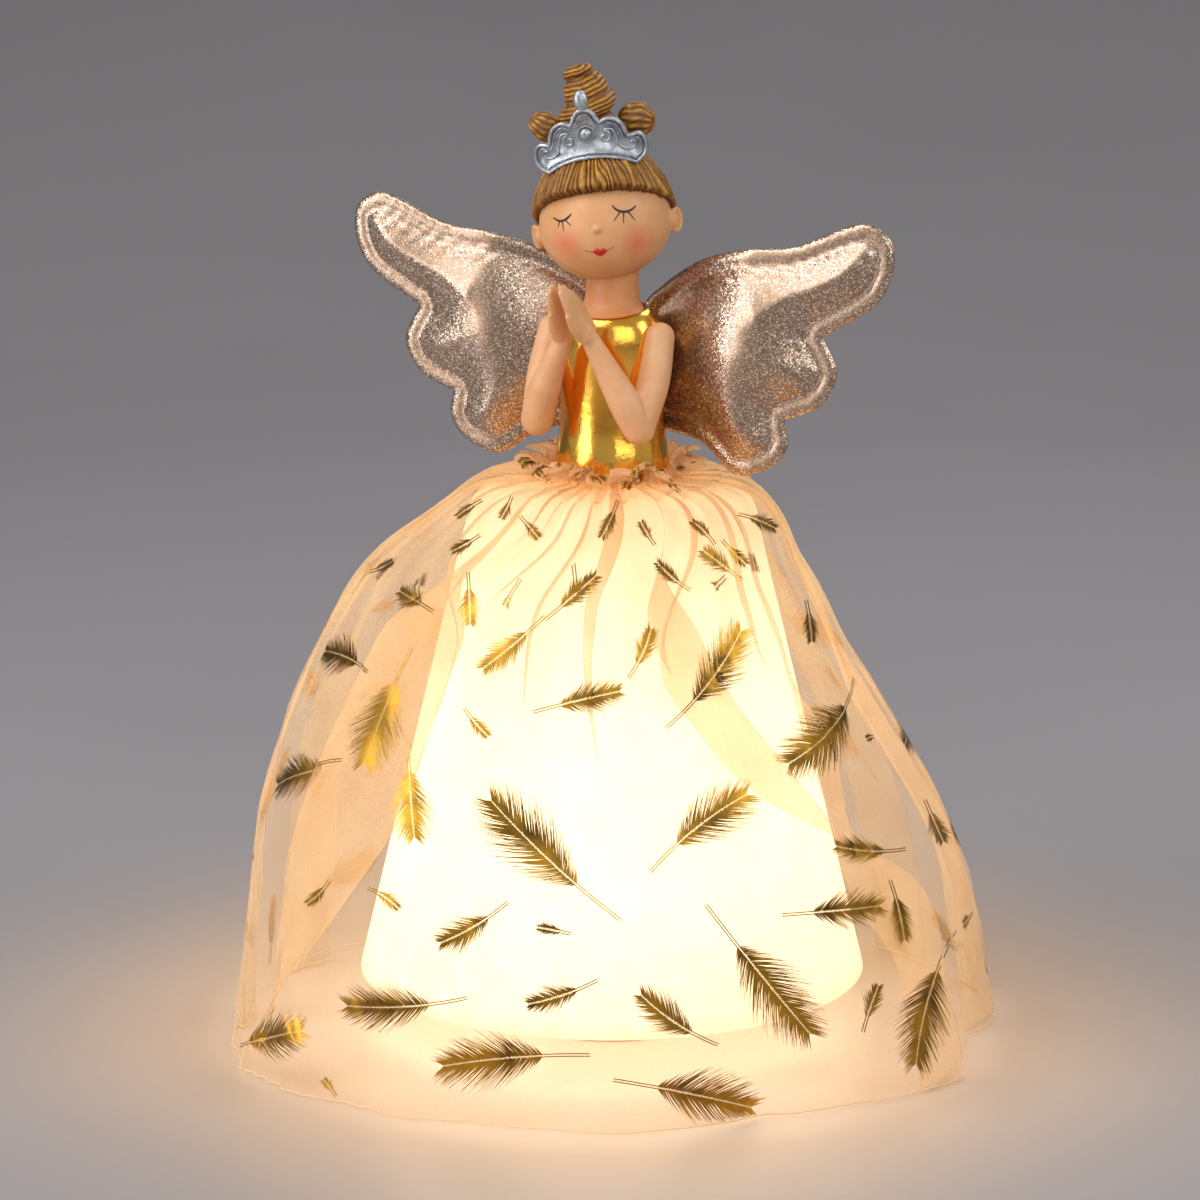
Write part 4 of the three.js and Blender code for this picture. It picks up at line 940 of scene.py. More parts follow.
@dataclass
class Lamp:
    """The frosted bell and the tree socket that carries it.

    Attributes:
        rim_height: The bell's edge above the table.
        top: Its flat top above the table.
        shoulder_radius: Its radius below the rounded shoulder.
        corner: The shoulder's rounding.
        lip: Rounding of its edge.
        screw_hole: Radius of the hole in its top.
        bore: Radius of the socket's bore at its mouth.
        mouth: Chamfer of that mouth.
        tip: Radius of the bore at its closed end.
        straight: Length of the bore before it tapers.
        collar: Radius of the collar above the foot.
        board_seat: Height of the step that carries the lamp board.
        plate_seat: Height of the collar's end, which carries the base plate.
    """

    rim_height: float = 18.0
    top: float = 172.0
    rim_radius: float = 79.0
    shoulder_radius: float = 45.0
    corner: float = 12.0
    wall: float = 1.8
    lip: float = 0.5
    screw_hole: float = 2.1
    bore: float = 14.6
    mouth: float = 0.6
    tip: float = 8.0
    depth: float = 112.0
    straight: float = 28.0
    socket_wall: float = 1.6
    foot: float = 27.0
    collar: float = 20.2
    board_seat: float = 70.7
    plate_seat: float = 18.3

    def radius_at(self, height: Array) -> Array:
        """Gives the bell's outer radius.

        Args:
            height: Height above the table.

        Returns:
            Radius at each height.
        """
        slope = (self.rim_radius - self.shoulder_radius) / (self.top - self.corner - self.rim_height)
        cone = self.rim_radius - slope * (height - self.rim_height)
        above = np.clip(height - (self.top - self.corner), 0, self.corner)
        return cone * (above <= 0) + (above > 0) * (
            self.shoulder_radius - self.corner + np.sqrt(np.maximum(0, self.corner**2 - above**2)))

    def face(self, inset: float) -> list[Pair]:
        """Gives one face of the bell's wall.

        Args:
            inset: How far it lies inside the outer face.

        Returns:
            Radius and height of points from the edge to the middle of the top.
        """
        steps, bends, first_bend = 24, 12, 0.1
        rim, shoulder = self.rim_height, self.top - self.corner
        line = [(self.rim_radius - inset + (self.shoulder_radius - self.rim_radius) * share,
                 rim + (shoulder - rim) * share) for share in np.linspace(0, 1, steps)]
        centre = self.shoulder_radius - self.corner
        small = self.corner - inset
        arc = [(centre + small * math.cos(bend), shoulder + small * math.sin(bend))
               for bend in np.linspace(first_bend, math.pi / 2, bends)]
        return [*line, *arc, (self.screw_hole, self.top - inset)]

    def socket(self) -> list[Pair]:
        """Gives the tree socket's outline.

        Returns:
            Radius and height of points from the bore's end, round the foot, to the outside of that end.
        """
        wall, collar, seat = self.socket_wall, self.collar, self.board_seat
        edge, edge_top, foot_top, cove, collar_foot = 0.8, 2.0, 2.6, 4.6, 7.4
        ledge, step, blend = 2.0, 1.5, 0.25
        taper = (self.tip - self.bore) / (self.depth - self.straight)
        stem = self.bore + taper * (seat - self.straight) + wall
        bore = [(0, self.depth), (self.tip, self.depth), (self.bore, self.straight), (self.bore, self.mouth),
                (self.bore + self.mouth, 0)]
        foot = [(self.foot - edge, 0), (self.foot, edge), (self.foot, edge_top), (self.foot - edge, foot_top),
                ((self.foot + collar) / 2, cove), (collar, collar_foot), (collar, self.plate_seat)]
        outside = [(self.bore + wall, self.plate_seat), (self.bore + wall, self.straight),
                   (stem + blend, seat - 2 * step), (stem + ledge, seat - step), (stem + ledge, seat),
                   (stem, seat), (self.tip + wall, self.depth), (self.tip, self.depth + wall),
                   (0, self.depth + wall)]
        return [*bore, *foot, *outside]

    def build(self) -> None:
        """Builds the bell and the socket."""
        bell_sides, socket_sides, rounding, sharp = 160, 96, 0.25, 25.0
        outer, inner = self.face(0), self.face(self.wall)
        level = self.rim_height - self.lip / 4
        edge = [(self.rim_radius - self.wall + self.lip, level), (self.rim_radius - self.lip, level)]
        shell = revolve([*reversed(inner), *edge, *outer], bell_sides)
        add_piece("diffuser_bell", shell, FROSTED, ["diffuser"])
        stem = revolve(self.socket(), socket_sides)
        socket = add_piece("tree_socket_moulding", stem, WHITE, ["tree_socket"])
        edge_break(socket, rounding, sharp)


@dataclass
class Fittings:
    """CAD pieces that keep their own shape: each gets its finish and broken edges.

    Attributes:
        finishes: Finish of the nodes whose names start with each text, the first that fits.
        edge: Rounding of their edges.
        least: Share of a node's smallest side that the rounding may take up.
    """

    finishes: dict[str, Finish] = field(default_factory=lambda: {
        "base_plate": BASE_PLATE_PAINTED_GLOW, "socket_nut": WHITE, "battery_door": WHITE, "base_screw": STEEL,
        "door_": STEEL, "cell_": JACKET, "contact_": STEEL, "switch_": BLACK, "led_board": BOARD,
        "led_": LED_RESIN, "lead_negative": BLACK_LEAD, "lead_": RED_LEAD, "figure_": STEEL,
    })
    edge: float = 0.25
    least: float = 0.125

    def dress(self) -> None:
        """Finishes every CAD node that is still shown."""
        for name, node in sorted(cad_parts.items()):
            start = next((text for text in self.finishes if name.startswith(text)), None)
            if start is None or node.hide_render:
                continue
            node.data.materials.clear()
            node.data.materials.append(material_of(self.finishes[start]))
            node.data.shade_smooth()
            edge_break(node, min(self.edge, min(node.dimensions) / MM * self.least))
            LOG.info("dressed %s in %s", name, self.finishes[start].name)


@dataclass
class Torso:
    """Gold bodice on a skin-coloured yoke and neck.

    Attributes:
        foot: Height of the bodice's lower edge.
        waist: Its radius at the foot.
        middle: Its radius above the waist.
        chest: Its radius at the chest.
        neck: Radius of its opening.
        depth: Front to back against side to side.
        dip: Share of its height by which the neckline drops in front.
        chin: Height where the neck meets the head.
        stem: Radius of the peg that carries the yoke inside the bodice.
    """

    foot: float = 172.3
    height: float = 55.0
    waist: float = 18.6
    middle: float = 16.4
    chest: float = 17.2
    neck: float = 10.6
    depth: float = 0.84
    dip: float = 0.085
    throat: float = 8.4
    chin: float = 238.5
    wall: float = 1.0
    stem: float = 6.0

    def profile(self) -> Array:
        """Gives the bodice's outline.

        Returns:
            Radius and height of points from its foot to its neck.
        """
        steps = 60
        levels = [(0, self.waist), (0.16, self.waist * 0.965), (0.34, self.middle), (0.56, self.middle),
                  (0.76, self.chest), (0.87, self.chest * 0.965), (0.95, self.chest * 0.83), (1, self.neck)]
        return spline([(radius, self.foot + share * self.height) for share, radius in levels], steps)

    def radius_at(self, height: Array) -> Array:
        """Gives the bodice's side-to-side radius at each height above the table."""
        outline = self.profile()
        return np.interp(height, outline[:, 1], outline[:, 0])

    def shell(self, inset: float) -> Array:
        """Gives one face of the bodice.

        Args:
            inset: How far it lies inside the outer face.

        Returns:
            Rows of points from its foot to its neckline.
        """
        outline, rows, columns, roundness = self.profile(), 48, 128, 1.6
        angle = directions(columns)
        front = ((1 - np.sin(angle)) / 2) ** roundness
        top = 1 - self.dip * front
        share = np.linspace(0, 1, rows)[:, None] * top[None]
        at = share * (len(outline) - 1)
        radius = np.interp(at, np.arange(len(outline)), outline[:, 0]) - inset
        height = np.interp(at, np.arange(len(outline)), outline[:, 1])
        return np.stack([radius * np.cos(angle), self.depth * radius * np.sin(angle), height], axis=2)

    def build(self) -> None:
        """Builds the bodice, the yoke and the neck."""
        steps, sides, hollow = 48, 96, 0.4
        outer, inner = self.shell(0.0), self.shell(self.wall)
        shell = grid(np.concatenate([inner[:1], outer, inner[::-1]]))
        add_piece("gold_bodice", shell, GOLD, ["bodice"])
        top, chest, neck, throat = self.foot + self.height, self.chest, self.neck, self.throat
        # Inside the bodice's chest, over its neckline and up to the throat, by level from the bodice's top
        yoke = spline([(chest - 1.6, top - 14), (chest - 1.8, top - 8), (chest - 3.2, top - 4.4),
                       (neck - 0.4, top - 1.0), (throat + 0.4, top + 1.2), (throat - 0.1, top + 5),
                       (throat - 0.2, self.chin)], steps)
        peg = [(0, self.foot), (self.stem, self.foot), (self.stem, top - 20), (chest - 1.8, top - 15)]
        profile = [*peg, *yoke.tolist(), (0, self.chin + hollow)]
        add_piece("neck_and_yoke", revolve(profile, sides, self.depth), NECK_PAINTED_SHADE_SKIN, ["neck"])


@dataclass
class Arm:
    """One arm in prayer, from the shoulder to the fingertips.

    A joint has its reach, forward and height, and a limb its radii from one end to the other.

    Attributes:
        finger_taper: A finger's radius at its root, knuckle, bend and tip against finger_radius.
        finger_gap: Distance between neighbouring fingers.
        finger_lengths: Each finger's length against the longest.
        apart: How far the hand stays from the middle plane, where the palms meet.
    """

    side: Side
    shoulder: Triple = (18.3, 4.0, 218.8)
    elbow: Triple = (17.4, 16.4, 192.6)
    wrist: Triple = (4.9, 23.2, 219.0)
    tips: Triple = (1.5, 37.0, 238.2)
    upper_radii: Triple = (4.5, 5.0, 4.8)
    fore_radii: Triple = (5.0, 4.9, 2.9)
    palm_radii: Pair = (2.9, 2.3)
    thumb_radii: Triple = (1.7, 1.35, 0.8)
    finger_radius: float = 1.3
    finger_taper: tuple[float, ...] = (1.45, 1.12, 0.95, 0.62)
    finger_gap: float = 2.05
    finger_lengths: tuple[float, ...] = (0.95, 1.0, 0.95, 0.84)
    apart: float = 0.16

    def at(self, place: Sequence[float]) -> Array:
        """Gives a place on this side from its reach, forward and height."""
        return np.array([self.side.value * place[0], -place[1], place[2]])

    def hand(self) -> list[Patch]:
        """Builds the palm, the fingers and the thumb.

        Returns:
            Overlapping closed meshes.
        """
        sides, fat = 14, self.finger_radius
        wrist, tips = self.at(self.wrist), self.at(self.tips)
        length = np.linalg.norm(tips - wrist)
        along = (tips - wrist) / length
        out = np.array([float(self.side.value), 0, 0])
        across = np.cross(along, out) * self.side.value
        across /= np.linalg.norm(across)
        parts = [limb([wrist, wrist + along * length * 0.2 + across * 0.4], self.palm_radii)]
        for i, share in enumerate(self.finger_lengths):
            shift = (i - (len(self.finger_lengths) - 1) / 2) * self.finger_gap
            root = wrist + along * length * 0.16 + across * shift * 0.8
            knuckle = wrist + along * length * 0.46 + across * shift
            tip = wrist + along * (length * share - fat * 0.6) + across * shift * 0.62
            bend = knuckle * 0.4 + tip * 0.6 + out * 0.25
            radii = [fat * taper for taper in self.finger_taper]
            parts.append(limb([root, knuckle, bend, tip], radii, sides))
        base = wrist + along * length * 0.18 - across * 2.6
        thumb = wrist + along * length * 0.6 - across * 4.4
        joint = base * 0.5 + thumb * 0.5 - across * 0.7
        parts.append(limb([base, joint, thumb], self.thumb_radii, sides))
        return parts

    def build(self) -> None:
        """Builds the arm as one melted skin."""
        grain, rounds = 0.42, 4
        shoulder, elbow, wrist = (self.at(place) for place in (self.shoulder, self.elbow, self.wrist))
        upper = shoulder * 0.5 + elbow * 0.5 + self.at((0.9, -0.6, 0.0))
        fore = elbow * 0.66 + wrist * 0.34 + self.at((0.5, 0.9, 0.0))
        skin = Patch.joined([
            limb([shoulder, upper, elbow], self.upper_radii),
            limb([elbow, fore, wrist], self.fore_radii),
            *self.hand(),
        ])
        reach = np.maximum(skin.points[:, 0] * self.side.value, self.apart)
        skin.points[:, 0] = reach * self.side.value
        name = self.side.name.lower()
        arm = add_piece(f"{name}_arm_and_hand", skin, SKIN, [f"arm_{name}"])
        fuse(arm, grain, rounds)


@dataclass
class Head:
    """Head, painted face, hair, buns and tiara, in a frame that is turned and tilted on the neck.

    The pixels of the face's features are where the photograph shows them.

    Attributes:
        yaw: Degrees that it turns towards the figure's left.
        roll: Degrees that it leans to the figure's left.
        nod: Degrees that it looks down.
        chin: Its radius downwards.
        fringe: Height of the hair's edge over the brow.
        temple: Height of the hair's edge at the ears.
        nape: Height of the hair's edge behind.
        strands: Carved strands round the head.
        strand_height: How far they stand out.
        lids: Closed lids of the right and the left eye.
        lashes: Root and tip of each lash.
        mouth: Middle of the lips.
        bun_line: Radius and height of the top bun's line, from the crown to its tip.
        side_buns: Middle, radii and lean in radians of the bun on each side.
    """

    place: Triple = (-1.8, -1.0, 251.8)
    yaw: float = 20.0
    roll: float = -8.0
    nod: float = 4.0
    radii: Triple = (20.2, 19.8, 20.0)
    chin: float = 16.8
    hair_radii: Triple = (22.2, 21.7, 26.0)
    fringe: float = 14.8
    temple: float = 5.0
    nape: float = -11.0
    strands: int = 66
    strand_height: float = 0.95
    nose: Pixel = (597.0, 229.4)
    cheeks: tuple[Pixel, ...] = ((565.0, 243.8), (638.8, 243.0))
    lids: tuple[tuple[Pixel, ...], ...] = (
        ((553.6, 217.8), (557.5, 220.2), (561.5, 220.8), (566.3, 218.9), (571.6, 213.8)),
        ((612.0, 205.6), (616.9, 210.0), (623.8, 211.7), (630.6, 210.1), (635.8, 205.7)),
    )
    lashes: tuple[Stroke, ...] = (
        ((559.8, 220.5), (558.3, 227.3)), ((562.3, 220.8), (563.8, 231.2)), ((565.0, 219.7), (570.8, 225.6)),
        ((620.3, 211.4), (613.6, 221.2)), ((623.6, 211.7), (623.4, 223.2)), ((627.6, 211.2), (635.2, 220.2)),
    )
    smile: tuple[tuple[Pixel, ...], ...] = (
        ((585.0, 250.2), (589.0, 251.6), (593.6, 251.6)), ((606.5, 250.0), (610.2, 249.2), (613.6, 246.9)),
    )
    lips: tuple[Pixel, ...] = (
        (592.4, 251.9), (594.6, 249.6), (597.0, 248.3), (600.0, 249.5), (602.9, 248.0), (605.6, 249.2),
        (607.6, 250.1), (605.2, 253.4), (602.4, 255.3), (599.6, 255.9), (596.6, 255.0), (594.2, 253.4),
    )
    mouth: Pixel = (600.0, 251.8)
    bun_line: Line = (
        (9.0, 22.0), (8.2, 28.0), (8.2, 32.0), (8.0, 36.0), (7.6, 39.0), (6.5, 42.4), (5.4, 45.6),
        (3.7, 48.4), (0.05, 49.4),
    )
    side_buns: dict[Side, tuple[Triple, Triple, float]] = field(default_factory=lambda: {
        Side.LEFT: ((13.9, 0.4, 30.2), (5.6, 5.3, 5.4), -0.2),
        Side.RIGHT: ((-13.2, 0.4, 31.2), (5.9, 4.4, 4.4), 0.62),
    })

    def matrix(self) -> Matrix:
        """Gives the head's own frame.

        Returns:
            Matrix in metres.
        """
        made = Matrix.Translation(Vector(self.place) * MM)
        for degrees, axis in ((self.yaw, "Z"), (self.roll, "Y"), (self.nod, "X")):
            made = made @ Matrix.Rotation(math.radians(degrees), 4, axis)
        return made

    def face(self) -> Patch:
        """Builds the head with soft cheeks and a short chin.

        Returns:
            The closed mesh, without nose and ears.
        """
        columns, rows = 96, 64
        aside, ahead, down = 0.5, -0.75, -0.42
        full, spread = 0.6, 0.4
        made = ball((0, 0, 0), self.radii, columns, rows)
        way = made.points / np.linalg.norm(made.points, axis=1)[:, None]
        below = made.points[:, 2] < 0
        made.points[below, 2] *= self.chin / self.radii[2]
        for side in Side:
            aim = np.array([side.value * aside, ahead, down])
            apart = np.arccos(np.clip(way @ aim / np.linalg.norm(aim), -1, 1))
            made.points += way * (full * np.exp(-(apart / spread) ** 2))[:, None]
        return made

    def ears(self) -> list[Patch]:
        """Builds both ears, each a pad with a raised rim.

        Returns:
            Closed meshes.
        """
        back, up, pad, sunk = 0.4, -1.6, (1.9, 2.6, 3.4), 0.3
        deep, tall, thick, steps = 2.2, 3.2, 0.8, 13
        start, end, ends_out, bulge = -0.7, 3.6, 0.5, 1.9
        parts = []
        for side in Side:
            x = side.value * self.radii[0]
            parts.append(ball((x + side.value * sunk, back, up), pad, 24, 16))
            ring = np.linspace(start, end, steps)
            stand = side.value * (ends_out + bulge * np.sin(np.linspace(0, math.pi, steps)))
            rim = [(x + out, back + deep * math.sin(bend), up + tall * math.cos(bend))
                   for bend, out in zip(ring, stand)]
            parts.append(limb(rim, [thick] * steps, 12))
        return parts

    def touch(self, tree: BVHTree, pixel: Pixel, lift: float) -> Array:
        """Finds the place that a pixel shows on the face's mesh in the row frame, lifted a little."""
        spot, normal, _, _ = tree.ray_cast(Vector(PHOTO.eye) * MM, Vector(PHOTO.ray(pixel)))
        return np.array(spot / MM + normal * lift)

    def paint_face(self, tree: BVHTree) -> None:
        """Lays the lids, lashes, smile and lips on the face.

        Args:
            tree: The face's mesh in the row frame, in metres.
        """
        lift, lid_steps, lash_steps, smile_steps, lip_steps = 0.02, 24, 8, 12, 48
        thin, swell, lash, smile, start = 0.12, 0.26, (0.24, 0.1), 0.13, 0.25
        lines = []
        for lid in self.lids:
            path = np.array([self.touch(tree, spot, lift) for spot in spline(lid, lid_steps)])
            thick = thin + swell * np.sin(np.linspace(start, math.pi - start, lid_steps))
            lines.append(tube(path, thick, 8))
        for root, tip in self.lashes:
            path = np.array([self.touch(tree, spot, lift) for spot in np.linspace(root, tip, lash_steps)])
            lines.append(tube(path, np.linspace(*lash, lash_steps), 8))
        add_piece("closed_lids_and_lashes", Patch.joined(lines), LASH_PAINT)
        curves = []
        for line in self.smile:
            path = np.array([self.touch(tree, spot, 0.0) for spot in spline(line, smile_steps)])
            curves.append(tube(path, smile, 6))
        add_piece("smile_lines", Patch.joined(curves), SMILE_PAINT)
        edge, middle = spline(self.lips, lip_steps, closed=True), np.array(self.mouth)
        # Share of the way from the mouth's middle to the lips' edge, and the lips' height there
        domed = ((1.0, -0.1), (0.97, 0.1), (0.8, 0.3), (0.5, 0.42), (0.2, 0.46))
        rings = []
        for share, height in domed:
            rings.append([self.touch(tree, spot, height) for spot in middle + share * (edge - middle)])
        lips = grid(np.array(rings))
        lips.faces.append(tuple(range((len(domed) - 1) * lip_steps, len(domed) * lip_steps)))
        add_piece("painted_lips", lips, LIP_PAINT)

    def hairline(self, angle: Array) -> Array:
        """Gives the height of the hair's edge: over the brow, past the ears and down to the nape.

        Args:
            angle: Direction from the head's axis, in radians.

        Returns:
            Height at each direction.
        """
        level = self.temple / 2 + (self.fringe + self.nape) / 4
        swing = (self.fringe - self.nape) / 2
        return level - swing * np.sin(angle) + (self.temple - level) * np.cos(2 * angle)

    def hair_cap(self) -> Patch:
        """Builds the hair with carved strands from the crown to its edge, and a thicker fringe.

        Returns:
            The hair, closed below against the head.
        """
        columns, rows, crown, mean_ridge = 1104, 48, 0.02, 0.6
        swell, brow_reach, inside, ragged, drop = 0.9, 0.95, 0.4, 0.04, 0.5
        rng = np.random.default_rng(SEED)
        angle = directions(columns)
        edge = np.arccos(np.clip(self.hairline(angle) / self.hair_radii[2], -1, 1))
        share = np.linspace(crown, 1, rows)[:, None]
        widths = rng.uniform(0.5, 1.5, self.strands)
        sides = np.concatenate([[0], np.cumsum(widths)]) * 2 * np.pi / widths.sum()
        # Strands wander a little on their way down
        sway = 0.05 * np.sin(4 * share + 5 * angle[None]) + 0.02 * np.sin(9 * share + 17 * angle[None])
        where = (angle[None] + sway) % (2 * np.pi)
        strand = np.clip(np.searchsorted(sides, where, "right") - 1, 0, self.strands - 1)
        within = (where - sides[strand]) / (sides[strand + 1] - sides[strand])
        ridge = np.sin(np.pi * within) ** 0.7 * rng.uniform(0.5, 1.0, self.strands)[strand]
        brow = half_turn(angle + np.pi / 2)
        fringe = np.exp(-(brow / brow_reach) ** 8)[None] * smoothstep(share, 0.45, 0.7)
        # The edge is ragged: a high strand ends lower
        polar = share * edge[None] * (1 + ragged * (ridge[-1:] - mean_ridge) * smoothstep(share, 0.6, 1.0))
        carved = self.strand_height * (ridge - mean_ridge) * smoothstep(share, 0.03, 0.3)
        relief = carved + swell * fringe
        way = np.stack([np.sin(polar) * np.cos(angle), np.sin(polar) * np.sin(angle), np.cos(polar)], axis=2)
        points = way * np.array(self.hair_radii) + way * relief[:, :, None]
        # Two more rings turn the edge in against the head
        tuck = points[-1] / np.linalg.norm(points[-1] / (np.array(self.radii) - inside), axis=1)[:, None]
        soft = 0.55 * points[-1] + 0.45 * tuck - np.array([0, 0, drop])
        raised = np.concatenate([ridge**1.6, np.zeros((2, columns))])
        made = grid(np.concatenate([points, soft[None], tuck[None]]), True, raised)
        made.faces.append(tuple(reversed(range(columns))))
        return made

    def top_bun(self) -> Patch:
        """Builds the coiled bun on the crown.

        Returns:
            The bun's mesh.
        """
        rows, columns, pitch, groove, strands, carving, wobble = 160, 140, 6.8, 2.2, 5, 0.45, 0.9
        outline = spline(self.bun_line, rows)
        angle = directions(columns)[None]
        radius, height = outline[:, :1], outline[:, 1:]
        turn = height / pitch - angle / (2 * np.pi)
        coil = np.sqrt(np.clip(1 - (2 * (turn % 1) - 1) ** 2, 0, 1))
        uneven = 2 * np.pi * strands * turn + 0.9 * np.sin(3 * angle) + 0.4 * np.sin(7 * angle)
        strand = 0.5 + 0.5 * np.cos(uneven)
        # Everything fades out where the line closes at the tip
        full = np.clip(radius / 5, 0, 1)
        r = radius + full * (groove * (coil - 0.85) + carving * (strand - 0.5))
        lean, phase = wobble * full, 2 * np.pi * height / (2 * pitch) + 0.6
        points = np.stack([r * np.cos(angle) + lean * np.cos(phase), r * np.sin(angle) + lean * np.sin(phase),
                           np.broadcast_to(height, r.shape)], axis=2)
        return grid(points, True, np.clip(strand * (0.3 + 0.7 * coil), 0, 1) ** 1.3)

    def side_bun(self, side: Side) -> Patch:
        """Builds one of the two small buns.

        Args:
            side: Which one.

        Returns:
            The bun's mesh.
        """
        strands, carving = 13, 0.1
        spot, plump, lean = self.side_buns[side]
        made = ball((0, 0, 0), plump, 120, 72)
        x, y, z = made.points.T
        around = np.arctan2(z, y)
        strand = 0.5 + 0.5 * np.cos(strands * around + 0.5 * np.sin(x))
        wrap = 0.5 + 0.5 * np.cos(1.7 * x + 2 * around)
        ridge = strand * (0.45 + 0.55 * wrap)
        grow = 1 + carving * (ridge - 0.5)
        bun = Patch(made.points * grow[:, None], made.faces, ridge**1.3)
        return bun.moved(Matrix.Translation(spot) @ Matrix.Rotation(-side.value * lean, 4, "Y"))

    def build(self) -> None:
        """Builds everything on the neck."""
        tip, grain, rounds = (1.3, 1.1, 1.1), 0.4, 3
        place = self.matrix()
        face = self.face()
        spots = [place @ Vector(point * MM) for point in face.points]
        tree = BVHTree.FromPolygons(spots, face.faces)
        home = place.inverted()
        nose, *cheeks = (tuple(home @ Vector(self.touch(tree, pixel, 0.0) * MM) / MM)
                         for pixel in (self.nose, *self.cheeks))
        paint = replace(FACE_PAINTED_SHADE_SKIN, cheeks=tuple(cheeks))
        whole = Patch.joined([face, ball(nose, tip, 24, 16), *self.ears()])
        head = add_piece("doll_head", whole, paint, ["head"], place)
        fuse(head, grain, rounds)
        self.paint_face(tree)
        add_piece("carved_hair_and_fringe", self.hair_cap(), HAIR, ["hair_cap"], place)
        add_piece("coiled_top_bun", self.top_bun(), HAIR, ["top_bun"], place)
        for side in Side:
            name = side.name.lower()
            add_piece(f"{name}_side_bun", self.side_bun(side), HAIR, [f"side_bun_{name}"], place)
        Tiara().build(place)


@dataclass
class Tiara:
    """Silver tiara with a raised rim, scrolls, a centre bead and a drop on top.

    Attributes:
        half: Right half of its outline, one run of points between sharp corners each.
        rise: Middle of its lower edge above the head's middle.
        forward: Its front before the head's axis.
        sweep: How far its ends lie behind its middle.
        lean: Share of its height by which it leans forward.
        rim: Radius of the rim's bead.
        line: Radius of its fine lines.
        scroll: Points of the right-hand scroll.
        middle: Height of the centre bead.
        ring: Radius of the line round it.
        drop: Height of the drop's middle.
    """

    half: tuple[Line, ...] = (
        ((0, 0), (4.5, -0.4), (9.0, -1.6), (13.4, -3.7)),
        ((13.4, -3.7), (16.4, -1.6), (17.4, 1.4), (16.9, 4.4), (15.0, 6.1), (12.2, 5.6)),
        ((12.2, 5.6), (11.7, 8.2), (10.2, 10.7), (7.9, 12.0), (5.9, 12.0), (4.5, 11.1)),
        ((4.5, 11.1), (3.4, 13.6), (1.8, 15.2), (0, 15.6)),
    )
    rise: float = 22.3
    forward: float = 12.4
    sweep: float = 5.0
    thickness: float = 1.3
    lean: float = 0.1
    rim: float = 0.62
    line: float = 0.26
    scroll: Line = (
        (5.3, 6.9), (4.6, 6.3), (4.7, 5.2), (5.8, 4.8), (6.9, 5.6), (6.8, 7.3), (5.4, 8.3), (7.6, 8.2),
        (8.6, 5.6), (9.2, 3.2), (10.6, 1.7), (12.6, 1.3), (13.9, 2.3), (13.5, 3.6), (12.4, 3.3),
    )
    scroll_radius: float = 0.42
    middle: float = 7.7
    bead: float = 1.9
    ring: float = 2.5
    drop: float = 17.9
    drop_radii: Triple = (2.25, 1.7, 3.3)

    def bent(self, flat: Array, out: Array | float) -> Array:
        """Lays a flat drawing on the tiara's curve.

        Args:
            flat: Across and up, one row each.
            out: Height above the plate's front.

        Returns:
            Points in the head's frame.
        """
        across, up = flat.T
        widest = max(spot[0] for run in self.half for spot in run)
        back = self.sweep * (across / widest) ** 2
        return np.column_stack([across, -self.forward + back - self.lean * up - out, self.rise + up])

    def outline(self) -> Array:
        """Gives the whole outline.

        Returns:
            Across and up of points round it, without a repeat.
        """
        steps = 14
        right = np.vstack([*(spline(run, steps)[:-1] for run in self.half), self.half[-1][-1:]])
        left = right[-2:0:-1] * (-1, 1)
        return np.vstack([right, left])

    def build(self, place: Matrix) -> None:
        """Builds the tiara.

        Args:
            place: The head's frame.
        """
        merge, rim_inset, line_inset, steps = 1e-4, 0.55, 1.75, 70
        edge = self.outline()
        spots, faces, around = filled(edge, edge[:0], merge)
        plate = slab(self.bent(spots, 0.0), self.bent(spots, -self.thickness), faces, around, 1)
        rim = tube(self.bent(drawn_in(edge, rim_inset), 0.15), self.rim, 8, closed=True)
        line = tube(self.bent(drawn_in(edge, line_inset), 0.0), self.line, 6, closed=True)
        scrolls = []
        for side in Side:
            curve = spline(self.scroll, steps) * (side.value, 1)
            knob = np.interp(np.linspace(0, 1, steps), [0, 0.1, 0.9, 1], [1.25, 1, 1, 1.25])
            scrolls.append(tube(self.bent(curve, 0.1), self.scroll_radius * knob, 8))
        bead = ball(self.bent(np.array([[0, self.middle]]), 0.0)[0], (self.bead, self.bead * 0.75, self.bead))
        angle = directions(40)
        ring = np.column_stack([self.ring * np.cos(angle), self.middle + self.ring * np.sin(angle)])
        halo = tube(self.bent(ring, 0.0), self.line, 6, closed=True)
        drop = ball(self.bent(np.array([[0, self.drop]]), -0.5)[0], self.drop_radii)
        whole = Patch.joined([plate, rim, line, *scrolls, bead, halo, drop])
        add_piece("silver_tiara", whole, SILVER, ["tiara"], place)


